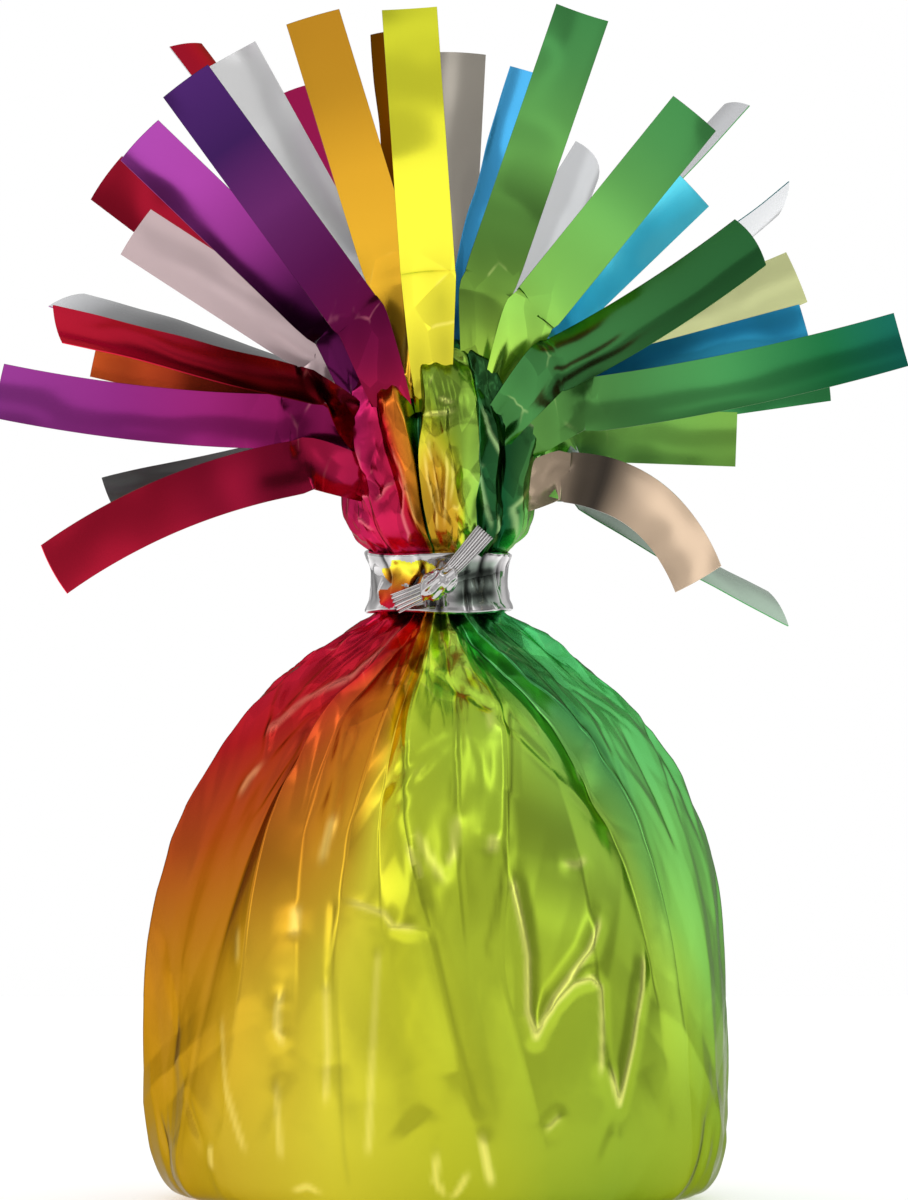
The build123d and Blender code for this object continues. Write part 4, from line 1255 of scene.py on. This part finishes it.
def pleated_ribbon(name, path, widths, depth, folds, solid):
    """A ribbon end creased lengthwise, swept along a short path whose y is measured from the knot's front."""
    line = smooth_curve([(x, KNOT_FRONT + y, z) for x, y, z in path], END_ROWS)[0]
    columns = folds * FOLD_COLUMNS + 1
    share = np.linspace(-1, 1, columns)
    width = np.interp(np.linspace(0, 1, END_ROWS), np.linspace(0, 1, len(widths)), widths)[:, None]
    tangent = np.gradient(line, axis=0)
    tangent /= np.linalg.norm(tangent, axis=1)[:, None]
    side = np.cross(tangent, (0.0, -1.0, 0.0))
    side /= np.linalg.norm(side, axis=1)[:, None]
    front = np.cross(side, tangent)
    crease = (np.abs((np.linspace(0, folds, columns) % 1.0) * 2 - 1) - 0.5)[None, :] * depth
    rise = crease - 0.5 * share**2 * width * END_ROUND
    spots = [
        line[:, [axis]] + side[:, [axis]] * (share * width) + front[:, [axis]] * rise
        for axis in range(3)
    ]
    piece = link_grid(name, spots, [ribbon_silver])
    # Painted light where the pleats stand out and painted shade in their folds, with a random step for each
    # column
    uneven = chance.uniform(-END_UNEVEN, END_UNEVEN, columns)[None, :]
    shade = np.clip(0.85 + 0.3 * crease / depth + uneven, 0.25, 1.2) + np.zeros_like(rise)
    store(piece, shade=shade, tint=np.ones_like(rise))
    wall = piece.modifiers.new("ribbon_thickness", "SOLIDIFY")
    wall.thickness = RIBBON_THICKNESS * MM
    wall.offset = 0.0
    dress(piece, "ribbon_silver", solid)


pleated_ribbon(
    "ribbon_tail", ((0.0, 0.3, 72.2), (1.8, -0.6, 74.0), (3.6, -0.9, 76.0), (5.4, -1.0, 78.1)),
    (0.7, 0.9, 1.05, 1.15), 0.4, 7, "tie_tail_long",
)
pleated_ribbon(
    "ribbon_stub", ((0.4, 0.2, 72.0), (-1.6, -0.3, 71.2), (-3.4, -0.2, 70.4), (-5.2, 0.5, 69.6)),
    (0.8, 1.0, 1.1, 1.2), 0.35, 5, "tie_tail_short",
)
# A short thick turn of ribbon, pleated round and a little lumpy
knot_along = np.linspace(-1, 1, KNOT_ROWS)[:, None]
knot_turn = np.linspace(0, 2 * math.pi, KNOT_COLUMNS, endpoint=False)[None, :]
knot_size = (1.35 - 0.35 * knot_along**2) * np.sqrt(np.clip(1 - knot_along**8, 0, 1)) + 0.02
knot_pleat = np.abs((knot_turn * KNOT_PLEATS / (2 * math.pi) + 0.5 * knot_along) % 1.0 * 2 - 1)
knot_size = knot_size * (1 + 0.16 * (knot_pleat - 0.5))
knot_size = knot_size * (1 + 0.14 * np.sin(9 * knot_along + 3 * knot_turn) * np.sin(5 * knot_turn + 2))
ribbon_knot = link_grid("ribbon_knot", [
    KNOT_HALF * knot_along + 0 * knot_turn,
    KNOT_FRONT + knot_size * np.cos(knot_turn),
    KNOT_HEIGHT + KNOT_RISE * knot_along + knot_size * KNOT_STRETCH * np.sin(knot_turn),
], [ribbon_silver], closed=True)
store(ribbon_knot, shade=np.full(knot_size.shape, KNOT_SHADE), tint=np.ones(knot_size.shape))
dress(ribbon_knot, "ribbon_silver", "tie_knot")

# %% [markdown]
# ## Inside the wrap
# The cup, its plaster and its card are hidden. They keep their solids, and get plain workshop finishes.

# %% Finishes of the hidden weight
MOTTLE_DETAIL = 6.0


def matt_finish(name, color, scale, spread_share, roughness):
    """A dry, slightly mottled finish."""
    material, tree, shader = start_material(name, {"Roughness": roughness})
    place = node(tree, "ShaderNodeTexCoord").outputs["Object"]
    mottle = node(tree, "ShaderNodeTexNoise", {"Vector": place, "Scale": scale, "Detail": MOTTLE_DETAIL})
    levels = ((0.0, 1 - spread_share), (1.0, 1 + spread_share))
    stops = [(stop, [min(1.0, channel * level) for channel in color]) for stop, level in levels]
    put(tree, shader.inputs["Base Color"], ramp_of(tree, mottle.outputs["Fac"], stops))
    return material


for solid, finish in (
    ("base_card", matt_finish("grey_card", (0.42, 0.36, 0.27), 900.0, 0.18, 0.85)),
    ("weight_cup", matt_finish("cup_plastic", (0.78, 0.78, 0.76), 60.0, 0.04, 0.4)),
    ("plaster_weight", matt_finish("cast_plaster", (0.72, 0.70, 0.66), 350.0, 0.10, 0.9)),
):
    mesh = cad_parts[solid].data
    mesh.materials.clear()
    mesh.materials.append(finish)
print("hidden solids finished")
